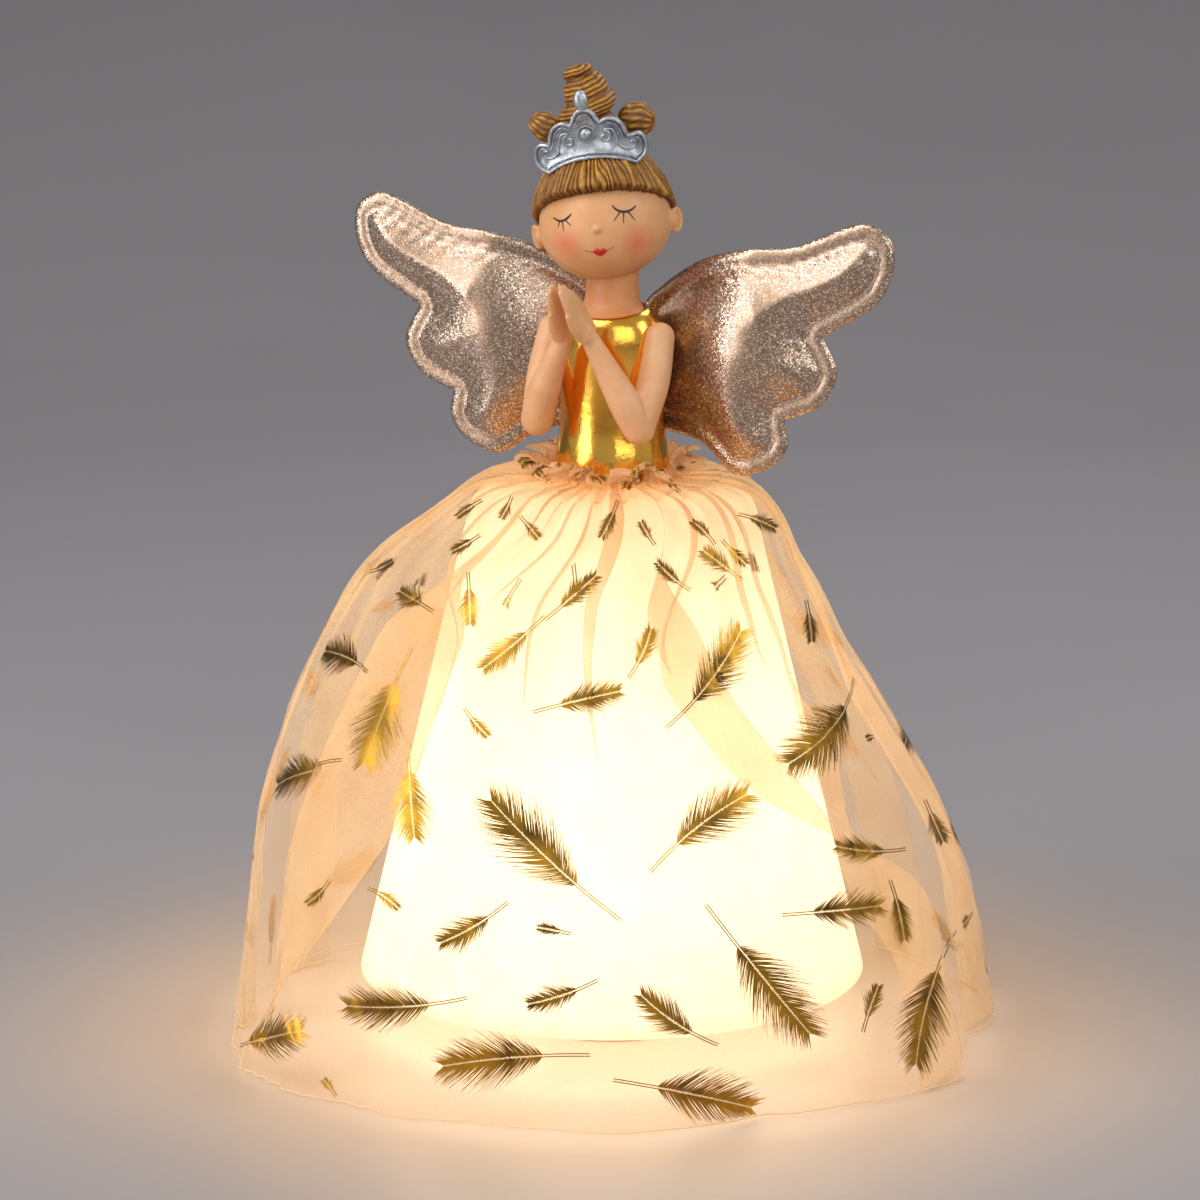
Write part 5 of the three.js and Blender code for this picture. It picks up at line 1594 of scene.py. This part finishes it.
@dataclass
class Wing:
    """One padded wing: two faces of glitter cloth sewn together inside their edge.

    Attributes:
        runs: Outline between its notches, across and up in the row frame.
        seam: Stitching inside the edge.
        edge_half: Half the edge's thickness.
        padding: Greatest half thickness.
        run: Distance from the seam to full thickness.
        root: How far behind the axis the wing stands there.
        sweep: How far forward of that its outer part stands.
        sweep_run: Distance from the axis over which it comes forward.
        grain: Spacing of its mesh.
        thin: Least half thickness.
        clear: Distance that it keeps from the bodice.
    """

    side: Side
    runs: tuple[Line, ...] = (
        ((9.0, 187.0), (2.4, 195.0), (2.4, 222.0), (10.0, 231.5), (26.0, 241.2), (43.0, 246.2), (59.5, 248.2),
         (74.5, 254.3), (83.7, 256.3), (91.0, 251.5), (91.6, 242.0), (86.5, 232.5), (74.0, 224.4),
         (69.0, 221.8)),
        ((69.0, 221.8), (74.0, 210.6), (68.6, 200.6), (57.0, 195.3)),
        ((57.0, 195.3), (58.0, 187.3), (52.0, 180.2), (40.0, 177.3), (27.0, 185.3), (9.0, 187.0)),
    )
    seam: float = 5.0
    edge_half: float = 0.8
    padding: float = 4.8
    run: float = 19.0
    root: float = 15.6
    sweep: float = 13.0
    sweep_run: float = 46.0
    grain: float = 1.35
    thin: float = 0.12
    clear: float = 0.5
    stitch_gap: float = 0.5
    thread: float = 0.17

    def outline(self) -> Array:
        """Gives the wing's edge.

        Returns:
            Across and up of points round it, anticlockwise, without a repeat.
        """
        density, steps = 6, 300
        points = np.vstack([spline(run, density * len(run))[:-1] for run in self.runs])
        even = spline(np.vstack([points, points[:1]]), steps)[:-1]
        return even[::-1]

    def distance(self, spots: Array, edge: Array) -> Array:
        """Gives the distance to a closed line.

        Args:
            spots: Where to measure from.
            edge: Points round the line.

        Returns:
            Least distance of each spot.
        """
        least = np.full(len(spots), np.inf)
        for first, way in zip(edge, np.roll(edge, -1, 0) - edge):
            share = np.clip(((spots - first) @ way) / (way @ way), 0, 1)
            least = np.minimum(least, np.linalg.norm(spots - first - share[:, None] * way, axis=1))
        return least

    def thickness(self, inside: Array, spots: Array) -> Array:
        """Gives half the wing's thickness.

        Args:
            inside: Distance inside the edge.
            spots: Across and up of each point.

        Returns:
            Half thickness, drawn in along the seam and crowned within it.
        """
        tight, seam_width, pucker_height, pucker_in, pucker_width = 0.5, 0.7, 0.12, 2.5, 2.6
        slack_height, crease_height = 0.5, 0.9
        x, z = spots.T
        past = np.clip((inside - self.seam) / self.run, 0, 1)
        crown = self.padding * np.sin(past * np.pi / 2)
        border = self.edge_half * smoothstep(inside, -0.6, 1.2)
        drawn = 1 - tight * np.exp(-((inside - self.seam) / seam_width) ** 2)
        # Small puckers just inside the seam, then loose cloth with a few sharp creases
        near = np.exp(-((inside - self.seam - pucker_in) / pucker_width) ** 2)
        pucker = pucker_height * np.sin(0.9 * x + 1.3 * z) * near
        slack = slack_height * np.sin(0.11 * x + 0.4) * np.sin(0.16 * z + 0.05 * x)
        crease = crease_height * (1 - np.abs(np.sin(0.085 * x + 0.06 * z + 1.0))) ** 3
        return np.maximum(self.thin, border * drawn + crown + pucker + (slack + crease) * past**2)

    def depth(self, across: Array) -> Array:
        """Gives the Y of the wing's middle at each distance across from the axis."""
        return self.root - self.sweep * smoothstep(across, 0, self.sweep_run)

    def place(self, spots: Array, out: Array) -> Array:
        """Sets flat points in space.

        Args:
            spots: Across and up.
            out: Distance before the wing's middle.

        Returns:
            Points clear of the bodice.
        """
        y = self.depth(spots[:, 0]) - out
        torso = Torso()
        across = torso.radius_at(spots[:, 1]) + self.clear
        room = torso.depth * np.sqrt(np.maximum(0, across**2 - spots[:, 0] ** 2))
        y = np.where(spots[:, 0] < across, np.maximum(y, room), y)
        return np.column_stack([self.side.value * spots[:, 0], y, spots[:, 1]])

    def build(self) -> None:
        """Builds the wing and its stitches."""
        margin, merge, on_rim = 0.5, 1e-5, 1e-4
        name = self.side.name.lower()
        edge = self.outline()
        low, high = edge.min(0), edge.max(0)
        columns, rows = (np.arange(start, end, self.grain) for start, end in zip(low, high))
        across, up = np.meshgrid(columns, rows)
        shifted = across + (np.arange(len(up)) % 2)[:, None] * self.grain / 2
        loose = np.column_stack([shifted.ravel(), up.ravel()])
        loose = loose[holds(edge, loose)]
        loose = loose[self.distance(loose, edge) > margin]
        spots, faces, rim = filled(edge, loose, merge)
        inside = self.distance(spots, edge)
        half = np.where(inside < on_rim, self.thin, self.thickness(inside, spots))
        patch = slab(self.place(spots, half), self.place(spots, -half), faces, rim, -1)
        if self.side is Side.RIGHT:
            patch.faces = [tuple(reversed(face)) for face in patch.faces]
        wing = add_piece(f"{name}_padded_wing", patch, GLITTER, [f"wing_{name}"])
        self.stitch(name, edge)

    def stitch(self, name: str, edge: Array) -> None:
        """Sews a running stitch along the seam on both faces.

        Args:
            name: The wing's side.
            edge: The wing's outline.
        """
        sag, hidden, longest, steps, bow = 0.4, 12.0, 4.6, 5, 0.16
        seam = drawn_in(edge, self.seam)
        line = seam[(self.distance(seam, edge) > self.seam - sag) & (seam[:, 0] > hidden)]
        threads = []
        for start, end in zip(line, line[1:]):
            way = end - start
            length = np.linalg.norm(way)
            if length > longest:
                continue
            share = np.linspace(0, 1 - self.stitch_gap / max(length, self.stitch_gap * 2), steps)[:, None]
            run = start + share * way
            out = self.thickness(self.distance(run, edge), run) + bow * np.sin(np.linspace(0, np.pi, steps))
            for face in (1, -1):
                threads.append(tube(self.place(run, face * out), self.thread, 5))
        add_piece(f"{name}_wing_stitching", Patch.joined(threads), THREAD)


@dataclass(frozen=True)
class Pleat:
    """One fold in which the cloth turns back on itself.

    Attributes:
        top: Its direction from the axis at the waist, in degrees.
        hem: Its direction at the hem, in degrees.
        overlap: Width of the overlap, in degrees.
        start: Share of the fall where it begins.
        end: Share of the fall where it has opened again.
        layer: Distance between its layers.
        closing: Share of the overlap that is lost towards the hem.
        growth: Share of the fall over which it grows.
        fading: Share of the fall over which it opens again.
    """

    top: float
    hem: float
    overlap: float
    start: float = 0.05
    end: float = 2.0
    layer: float = 4.0
    closing: float = 0.0
    growth: float = 0.22
    fading: float = 0.4

    def moves(self, angle: Array, fall: Array, front: float) -> tuple[Array, Array]:
        """Gives how the fold moves the cloth.

        Args:
            angle: Direction of each point from the axis, in radians.
            fall: Share of the way from the lamp's shoulder to the hem.
            front: Direction of the front panel, which lies over the others, in radians.

        Returns:
            Turn about the axis in radians, and shift outwards.
        """
        lower, below, swing, share = 0.5, 1.05, 1.7, 0.62
        grown = smoothstep(fall, self.start, self.start + self.growth)
        grown = grown * (1 - smoothstep(fall, self.end - self.fading, self.end))
        grown = grown * (1 - self.closing * smoothstep(fall, lower, below))
        centre = np.radians(self.top + (self.hem - self.top) * fall**swing)
        overlap = np.radians(self.overlap)
        width = share * overlap
        gap = half_turn(angle - centre) / width
        # One swing to either side of the middle, 1 at most
        wave = -gap * np.exp(0.5 - gap * gap / 2)
        outer = -1.0 if np.radians(self.hem) < front else 1.0
        shift = grown * outer * (0.5 + 0.5 * fall) * self.layer / 2 * wave
        return grown * (width + overlap / 2) * wave, shift


@dataclass
class Skirt:
    """Organza overskirt gathered at the waist, with a frill, folds and stamped foil feathers.

    Attributes:
        profile: Radius and height of its line from the frill's edge to the hem.
        shoulder: Length of that line above the lamp's shoulder.
        waist: Length of that line above the elastic.
        flat_width: Width of the cloth before it was gathered.
        sheer: Share that the threads of one layer cover.
        gathers: Number of small folds from the waist.
        fold: Depth of the soft folds at the hem.
        waves: Depth, count and phase of each run of those folds.
        crumple: Depth of the fine creases.
        front: Direction of the smooth front from the axis, in degrees.
        sway: How far it hangs towards the photograph's left, and at what height.
        sway_reach: How far up and down from there it still does.
        upright: Heights between which the sway fades out towards the waist.
        hem_line: Direction in degrees, and how far the hem there stands out from a round one.
        feathers: Feathers that the photograph shows, each by the pixel of its tip and of its quill's end.
    """

    profile: Line = (
        (27.5, 178.4), (25.4, 180.4), (22.6, 179.2), (21.0, 176.4), (21.2, 174.4), (29.0, 173.6),
        (40.0, 172.6), (50.0, 166.0), (68.0, 146.0), (82.2, 120.0), (95.0, 94.0), (106.2, 66.0),
        (110.8, 38.0), (112.6, 14.0), (113.0, 1.0),
    )
    shoulder: float = 34.0
    waist: float = 10.0
    flat_width: float = 820.0
    sheer: float = 0.21
    pleats: tuple[Pleat, ...] = (
        Pleat(-101, -127, 20, 0.04, layer=6.0, closing=0.85), Pleat(-46, 15, 10, 0.02, 0.86, 4.0),
        Pleat(-61, -58, 1.3, -0.2, 0.62, 1.4), Pleat(-14, -7, 8, 0.25), Pleat(12, 22, 8, 0.2),
        Pleat(36, 40, 9, 0.3), Pleat(64, 60, 12, 0.1), Pleat(104, 110, 9, 0.25), Pleat(146, 140, 12, 0.1),
        Pleat(176, 180, 9, 0.3), Pleat(-158, -152, 9, 0.2),
    )
    gathers: int = 44
    frill_loops: int = 21
    fold: float = 3.0
    waves: tuple[Triple, ...] = ((0.5, 9, 0.8), (0.45, 14, 2.1), (0.35, 23, 0.4))
    crumple: float = 4.0
    front: float = -63.0
    sway: Pair = (-9.2, 126.0)
    sway_reach: float = 60.0
    upright: Pair = (146.0, 172.0)
    hem_line: Line = (
        (-180, 0), (-150, 3), (-127, 11), (-112, 7), (-96, 3.5), (-85, -3), (-76, -2), (-62, 0), (-37, -7),
        (-21, 3.5), (-4, 7), (16, 0), (30, 7), (60, 2), (100, 3), (140, -2), (180, 0),
    )
    columns: int = 1080
    rows: int = 110
    feathers: tuple[Stroke, ...] = (
        ((482, 790), (620, 920)), ((755, 790), (650, 872)), ((818, 1043), (706, 905)),
        ((887, 905), (782, 915)), ((338, 1005), (467, 998)), ((435, 945), (508, 902)),
        ((535, 927), (571, 934)), ((523, 1005), (598, 980)), ((636, 990), (718, 1045)),
        ((432, 1068), (590, 1055)), ((762, 1110), (613, 1080)), ((880, 982), (863, 1032)),
        ((915, 1075), (955, 930)), ((322, 1078), (336, 1096)), ((305, 1030), (242, 1045)),
        ((415, 845), (408, 740)), ((362, 772), (412, 648)), ((274, 787), (342, 760)),
        ((324, 652), (368, 672)), ((394, 560), (368, 572)), ((398, 590), (434, 612)),
        ((470, 628), (468, 572)), ((478, 672), (545, 616)), ((600, 572), (545, 620)),
        ((626, 690), (533, 712)), ((490, 738), (464, 708)), ((652, 625), (628, 678)),
        ((745, 622), (666, 728)), ((785, 765), (853, 680)), ((832, 845), (906, 849)),
        ((870, 738), (892, 730)), ((945, 845), (925, 800)), ((905, 945), (890, 880)),
        ((812, 645), (806, 600)), ((700, 548), (742, 580)), ((778, 530), (738, 514)),
        ((600, 540), (618, 500)), ((450, 552), (480, 535)), ((962, 925), (972, 912)),
        ((400, 910), (368, 888)), ((305, 905), (330, 880)), ((540, 540), (520, 516)),
        ((455, 518), (482, 500)), ((690, 520), (715, 545)), ((748, 566), (722, 540)),
        ((640, 520), (655, 545)), ((500, 520), (512, 496)), ((655, 560), (690, 590)),
        ((535, 468), (548, 482)), ((572, 480), (590, 470)), ((604, 470), (612, 488)),
        ((634, 484), (650, 470)), ((668, 480), (680, 492)),
    )

    def __post_init__(self) -> None:
        """Measures the profile, adds the small folds to the large ones and draws the fine creases."""
        steps, crease_runs, lean, start = 400, 7, 14.0, -0.3
        overlaps, ends, layers, counts, slopes = (0.9, 3.0), (0.16, 0.6), (0.8, 2.4), (9, 53), (-0.16, 0.16)
        self.table = spline(self.profile, steps)
        self.length = float(np.linalg.norm(np.diff(self.table, axis=0), axis=1).sum())
        rng = np.random.default_rng(SEED)
        self.folds = [*self.pleats]
        for way in rng.uniform(-180, 180, self.gathers):
            hem, overlap = way + rng.uniform(-lean, lean), rng.uniform(*overlaps)
            end, layer = rng.uniform(*ends), rng.uniform(*layers)
            self.folds.append(Pleat(way, hem, overlap, start, end, layer))
        self.creases = []
        for _ in range(crease_runs):
            count, slope, phase = int(rng.integers(*counts)), rng.uniform(*slopes), rng.uniform(0, np.pi)
            self.creases.append((count, slope, phase))

    def along(self, share: Array) -> tuple[Array, Array]:
        """Gives the profile's radius and height at each share of the way from the frill to the hem."""
        places = np.linspace(0, 1, len(self.table))
        return np.interp(share, places, self.table[:, 0]), np.interp(share, places, self.table[:, 1])

    def cover(self, turn: Array, share: Array, net: Array) -> Array:
        """Gives the share that threads cover: more where the cloth is gathered or turns back in a fold.

        Args:
            turn: Place round the cloth, one whole turn from 0 to 1.
            share: Place down the cloth.
            net: The cloth's points, rows by columns.

        Returns:
            Covered share.
        """
        sharp, reach, gathered, streaky, folded = 0.35, 60.0, 0.5, 0.16, 1.3
        facing = np.unwrap(np.arctan2(net[:, :, 1], net[:, :, 0]), axis=1)
        turned = np.gradient(facing, axis=1) * self.columns / (2 * np.pi)
        creased = np.exp(-(turned / sharp) ** 2) * smoothstep(share * self.length, self.waist, self.shoulder)
        angle = 2 * np.pi * turn
        layers = np.maximum(1.0, self.flat_width / (2 * np.pi * self.along(share)[0]))
        drawn = np.exp(-np.maximum(0, share * self.length - self.waist) / reach)
        streak = sum(np.cos(count * angle + phase) for count, _, phase in self.creases)
        thick = 1 + drawn * (gathered + streaky * streak) + folded * creased
        return 1 - (1 - self.sheer) ** (layers * thick)

    def surface(self, turn: Array, share: Array) -> Array:
        """Gives the cloth's place in space.

        Args:
            turn: Place round the cloth, one whole turn from 0 to 1.
            share: Place down the cloth, from 0 at the frill's edge to 1 at the hem.

        Returns:
            X, Y and Z along a last axis.
        """
        stillness, still_width, crease_mean, clear = 0.8, 0.75, 0.64, 0.7
        waist_reach, gather_out, gather_up, level_run = 24.0, 0.8, 1.1, 8.0
        loop_out, ruffle_out, loop_lean, frill_foot = 2.4, 0.7, 1.1, 6.0
        turn, share = np.broadcast_arrays(np.asarray(turn, float), np.clip(share, 0, 1))
        radius, height = self.along(share)
        run = share * self.length
        fall = np.clip((run - self.shoulder) / (self.length - self.shoulder), 0, 1)
        angle, front = 2 * np.pi * turn, np.radians(self.front)
        calm = 1 - stillness * np.exp(-(half_turn(angle - front) / still_width) ** 2)
        # Soft folds that grow towards the hem, and fine creases across them
        waves = sum(deep * np.cos(count * angle + phase) for deep, count, phase in self.waves)
        out = self.fold * fall**1.1 * calm * waves
        slants = (count * angle + slope * run + phase for count, slope, phase in self.creases)
        creases = sum(np.abs(np.cos(slant)) for slant in slants)
        out = out - self.crumple * np.sqrt(fall) * calm * (creases / len(self.creases) - crease_mean)
        # Uneven gathers on both sides of the elastic
        near = np.exp(-((run - self.waist) / waist_reach) ** 2)
        drawn = np.cos(31 * angle + 3 * np.sin(4 * angle)) + 0.8 * np.cos(53 * angle + 2 * np.sin(7 * angle))
        out = out + gather_out * near * drawn
        height = height + gather_up * near * drawn * smoothstep(run, self.waist, self.waist + level_run)
        # The frill's loops, which lean over and differ in height
        frill = smoothstep(self.waist - run, 0, self.waist)
        loops = self.frill_loops * angle + 1.8 * np.sin(4 * angle)
        out = out + frill * (loop_out * np.cos(loops) + ruffle_out * np.cos(43 * angle))
        height = height + frill * (1.7 * np.sin(7 * angle + 0.7) + 1.3 * np.sin(17 * angle))
        bent = frill * loop_lean / self.frill_loops * np.sin(2 * loops)
        for pleat in self.folds:
            turned, shift = pleat.moves(angle, fall, front)
            bent = bent + turned
            out = out + shift
        angle = angle + bent
        ways, stands = np.transpose(self.hem_line)
        radius = radius + out + fall**3 * np.interp(np.degrees(half_turn(angle)), ways, stands)
        # The cloth rests on the lamp below the frill
        resting = np.maximum(radius, Lamp().radius_at(height) + clear)
        radius = np.where(run > self.waist + frill_foot, resting, radius)
        most, level = self.sway
        sway = most * np.exp(-((height - level) / self.sway_reach) ** 2)
        sway = sway * (1 - smoothstep(height, *self.upright))
        right = PHOTO.axes()[0]
        x, y = radius * np.cos(angle) + sway * right[0], radius * np.sin(angle) + sway * right[1]
        return np.stack([x, y, height], axis=-1)

    def feather(self, length: float, rng: Random) -> tuple[Array, Faces]:
        """Draws one flat feather: two thin quill lines, then fine barbs on both sides of a bare shaft.

        Args:
            length: Its length.
            rng: Its random draws.

        Returns:
            Place along from the quill's end and aside of each point, and the faces.
        """
        bare, shaft, spacing, most, slim, least = 0.3, 0.28, 0.36, 11.0, 0.19, 10
        quill_aside, quill_half, barb_half, points = 0.4, 0.16, 0.36, 8
        bow = rng.uniform(-0.06, 0.06) * length
        half = min(most, slim * length) * rng.uniform(0.9, 1.1)
        line = np.linspace(0, 1, points)
        barbs = max(least, int(length * (1 - bare) / spacing))
        strips = []
        for side in (-1, 1):
            quill = (bare + (0.14 if side > 0 else 0.05)) * length * line
            strips.append((quill, side * np.full(points, quill_aside), np.full(points, quill_half)))
            for i in range(barbs):
                up = (i + rng.uniform(0, 0.7)) / barbs
                swell = min(1, (up + 0.03) / 0.25) ** 0.6 * (1 - 0.75 * up**2)
                reach = half * swell * rng.uniform(0.62, 1.15)
                root = (bare + (0.93 - bare) * up) * length
                rise = reach * (0.8 + 0.8 * up) * rng.uniform(0.85, 1.15)
                wide = barb_half * (1 - 0.88 * line**0.7)
                strips.append((root + rise * line**1.15, side * (shaft + reach * line), wide))
        along = np.concatenate([np.repeat(run, 2) for run, _, _ in strips])
        sides = [np.column_stack([middle - wide, middle + wide]).ravel() for _, middle, wide in strips]
        aside = np.concatenate(sides) + bow * 4 * along / length * (1 - along / length)
        faces = []
        for i in range(len(strips)):
            for j in range(points - 1):
                low = 2 * (i * points + j)
                faces.append((low, low + 1, low + 3, low + 2))
        return np.column_stack([along, aside]), faces

    def stamp(self, tree: BVHTree, flat: Array, starts: Array, ways: Array, faces: Faces) -> Patch:
        """Presses a drawing onto the outermost layer of the cloth.

        Args:
            tree: The cloth's mesh.
            flat: The drawing's points before they are pressed.
            starts: Where each point comes from.
            ways: The unit direction in which it goes.
            faces: The drawing's faces.

        Returns:
            The foil, without what would span from one layer to another.
        """
        lift, stretch, slack = 0.2, 3.0, 1.2
        spots = np.full((len(starts), 3), np.nan)
        for i, (start, way) in enumerate(zip(starts, ways)):
            spot = tree.ray_cast(Vector(start), Vector(way))[0]
            if spot is not None:
                spots[i] = np.array(spot) - lift * way
        rings = (places[np.array(faces)] for places in (spots, flat))
        sides = (np.linalg.norm(ring - np.roll(ring, 1, axis=1), axis=2) for ring in rings)
        spans, sizes = (lengths.max(axis=1) for lengths in sides)
        kept = [face for face, span, size in zip(faces, spans, sizes) if span < stretch * size + slack]
        used = sorted({i for face in kept for i in face})
        order = {old: new for new, old in enumerate(used)}
        return Patch(spots[used].reshape(-1, 3), [tuple(order[i] for i in face) for face in kept])

    def laid(self, tree: BVHTree, middle: Array, normal: Array, ahead: Array, length: float,
             rng: Random) -> Patch:
        """Presses a feather onto the cloth straight from outside.

        Args:
            tree: The cloth's mesh.
            middle: Where its middle goes.
            normal: Unit direction out of the cloth there.
            ahead: Direction in which it points.
            length: Its length.
            rng: Its random draws.

        Returns:
            The foil.
        """
        outside = 40.0
        ahead = ahead - (ahead @ normal) * normal
        ahead = ahead / np.linalg.norm(ahead)
        flat, faces = self.feather(length, rng)
        reach = (flat[:, :1] - length / 2) * ahead + flat[:, 1:] * np.cross(normal, ahead)
        ways = np.tile(-normal, (len(flat), 1))
        return self.stamp(tree, flat, middle + outside * normal + reach, ways, faces)

    def shown(self, tree: BVHTree, ends: Stroke, rng: Random) -> tuple[Patch, Array]:
        """Stamps a feather where the photograph shows it, or whole on its tip's layer if it spans two.

        Args:
            tree: The cloth's mesh.
            ends: Its tip and its quill's end in the photograph.
            rng: Its random draws.

        Returns:
            The foil and its middle.
        """
        slant, broken = 1.5, 2.6
        eye = np.array(PHOTO.eye)
        hits = [tree.ray_cast(Vector(eye), Vector(PHOTO.ray(end))) for end in ends]
        tip, quill = (np.array(hit[0]) for hit in hits)
        middle, chord = (tip + quill) / 2, float(np.linalg.norm(tip - quill))
        last, first = np.array(ends, float)
        size = float(np.linalg.norm(last - first))
        length = size / PHOTO.scale()
        if chord > slant * length:
            if chord > broken * length:
                middle, chord = tip, length
            normal = np.array(hits[0][1] if hits[0][1] @ Vector(middle) > 0 else -hits[0][1])
            return self.laid(tree, middle, normal, tip - quill, chord, rng), middle
        flat, faces = self.feather(length, rng)
        ahead = (last - first) / size
        pixels = first + PHOTO.scale() * (flat[:, :1] * ahead + flat[:, 1:] * (-ahead[1], ahead[0]))
        rays = np.array([PHOTO.ray(pixel) for pixel in pixels])
        return self.stamp(tree, flat, np.tile(eye, (len(flat), 1)), rays, faces), middle

    def stamped(self, net: Array) -> list[Patch]:
        """Stamps the photographed feathers and strews more over the cloth that the photograph doesn't show.

        Args:
            net: The cloth's points, rows by columns.

        Returns:
            The foil's meshes.
        """
        tries, spacing, lengths, ahead_share = 1500, 24.0, (16, 24, 34, 46), 0.02
        rng = np.random.default_rng(SEED)
        sheet = grid(net)
        tree = BVHTree.FromPolygons([Vector(p) for p in sheet.points], sheet.faces)
        eye = np.array(PHOTO.eye)
        shown = [self.shown(tree, ends, rng) for ends in self.feathers]
        made, spots = [foil for foil, _ in shown], [middle for _, middle in shown]
        for _ in range(tries):
            share, turn = rng.uniform(0.2, 0.95), rng.uniform(0, 2 * np.pi)
            length, heading = float(rng.choice(lengths)), rng.uniform(0, 2 * np.pi)
            radius, height = self.along(share)
            further, lower = self.along(share + ahead_share)
            out = np.array([height - lower, further - radius]) / math.hypot(height - lower, further - radius)
            normal = np.array([out[0] * math.cos(turn), out[0] * math.sin(turn), out[1]])
            spot = np.array([radius * math.cos(turn), radius * math.sin(turn), height])
            if normal @ (eye - spot) > 0 or min(np.linalg.norm(spot - other) for other in spots) < spacing:
                continue
            around = np.array([-math.sin(turn), math.cos(turn), 0.0])
            ahead = math.cos(heading) * around + math.sin(heading) * np.cross(around, normal)
            made.append(self.laid(tree, spot, normal, ahead, length, rng))
            spots += [spot - length / 2 * ahead, spot, spot + length / 2 * ahead]
        made += self.frill_bits(tree, rng)
        LOG.info("stamped %d feathers", len(made))
        return made

    def frill_bits(self, tree: BVHTree, rng: Random) -> list[Patch]:
        """Stamps small bits of foil on the frill.

        Args:
            tree: The cloth's mesh.
            rng: Their random draws.

        Returns:
            The foil's meshes.
        """
        bits, slope, shares, lengths = 18, 0.35, (0.008, 0.03), (7, 11)
        made = []
        for turn in (np.arange(bits) + rng.uniform(0, 0.6, bits)) / bits:
            angle = 2 * math.pi * turn
            normal = np.array([math.cos(angle), math.sin(angle), slope]) / math.hypot(1, slope)
            spot = self.surface(turn, rng.uniform(*shares))
            made.append(self.laid(tree, spot, normal, rng.normal(size=3), rng.uniform(*lengths), rng))
        return made

    def build(self) -> None:
        """Builds the cloth, its hem, its elastic and its feathers."""
        count, inset, cord, hem_radius = 180, 1.6, 0.9, 0.24
        turns = np.linspace(0, 1, self.columns, endpoint=False)[None]
        shares = np.linspace(0, 1, self.rows)[:, None]
        net = self.surface(turns, shares)
        sheet = grid(net, True, self.cover(turns, shares, net))
        cloth = add_piece("organza_overskirt", sheet, ORGANZA, ["overskirt"])
        hem = add_piece("rolled_hem", tube(net[-1], hem_radius, 6, closed=True), HEM_THREAD)
        foil = add_piece("stamped_foil_feathers", Patch.joined(self.stamped(net)), FOIL)
        angle = directions(count)
        radius, height = self.along(np.array(self.waist / self.length))
        ring = np.column_stack([np.cos(angle), np.sin(angle), np.zeros(count)]) * (radius - inset)
        elastic = tube(ring + np.array([0, 0, height]), cord, 10, closed=True)
        add_piece("waist_elastic_cord", elastic, ELASTIC, ["waist_elastic"])


@dataclass(frozen=True)
class Softbox:
    """One soft light that faces the object, in metres and watts."""

    place: Triple
    width: float
    height: float
    power: float


@dataclass
class Studio:
    """Paper sweep and soft light, in metres.

    Attributes:
        width: Width of the sweep.
        front: How far it comes forward.
        back: Where it turns up.
        bend: Radius of the turn.
        rise: Its height.
        sky: Strength of the light from all round.
        sky_colour: Colour of that light.
    """

    width: float = 20.0
    front: float = -12.0
    back: float = 1.0
    bend: float = 2.4
    rise: float = 4.0
    target: Triple = (0.0, 0.0, 0.18)
    lights: tuple[Softbox, ...] = (
        Softbox((-0.5, -0.75, 1.25), 1.0, 0.7, 9.0), Softbox((-0.8, -1.0, 0.45), 0.45, 0.9, 6.0),
        Softbox((0.8, -1.1, 0.75), 1.0, 0.9, 5.0), Softbox((1.3, 0.1, 0.95), 0.6, 0.8, 5.0),
        Softbox((0.1, 0.95, 1.2), 0.9, 0.6, 4.0),
    )
    sky: float = 0.4
    sky_colour: str = "#FFFEFF"

    def build(self) -> None:
        """Builds the sweep, the lights and the world."""
        steps = 48
        turn = [(self.back + self.bend * math.sin(bend), self.bend * (1 - math.cos(bend)))
                for bend in np.linspace(0, math.pi / 2, steps)]
        line = np.array([(self.front, 0.0), *turn, (self.back + self.bend, self.rise)])
        edges = [np.column_stack([np.full(len(line), x), line]) for x in (-self.width / 2, self.width / 2)]
        patch = grid(np.stack(edges, axis=1), False)
        mesh = bpy.data.meshes.new("paper_sweep")
        mesh.from_pydata(patch.points.tolist(), [], patch.faces)
        mesh.shade_smooth()
        mesh.materials.append(material_of(SWEEP))
        sweep = bpy.data.objects.new("paper_sweep", mesh)
        sweep.rotation_euler = (0, 0, math.radians(PHOTO.azimuth))
        bpy.context.scene.collection.objects.link(sweep)
        for i, light in enumerate(self.lights, 1):
            lamp = bpy.data.lights.new(f"softbox_{i}", "AREA")
            lamp.shape = "RECTANGLE"
            lamp.size, lamp.size_y, lamp.energy = light.width, light.height, light.power
            box = bpy.data.objects.new(f"softbox_{i}", lamp)
            box.location = light.place
            aim = Vector(self.target) - Vector(light.place)
            box.rotation_euler = aim.to_track_quat("-Z", "Y").to_euler()
            bpy.context.scene.collection.objects.link(box)
        world = bpy.data.worlds.new("studio")
        world.use_nodes = True
        sky = world.node_tree.nodes["Background"].inputs
        sky["Strength"].default_value, sky["Color"].default_value = self.sky, linear(self.sky_colour)
        bpy.context.scene.world = world


def main() -> None:
    """Builds the object and its studio."""
    logging.basicConfig(level=logging.INFO, format="%(name)s: %(message)s")
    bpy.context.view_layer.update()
    bpy.context.scene.view_settings.view_transform = "Standard"
    Lamp().build()
    Torso().build()
    for side in Side:
        Arm(side).build()
        Wing(side).build()
    Head().build()
    Skirt().build()
    Fittings().dress()
    Studio().build()
    PHOTO.build()
    bpy.context.view_layer.update()


if __name__ == "__main__":
    main()
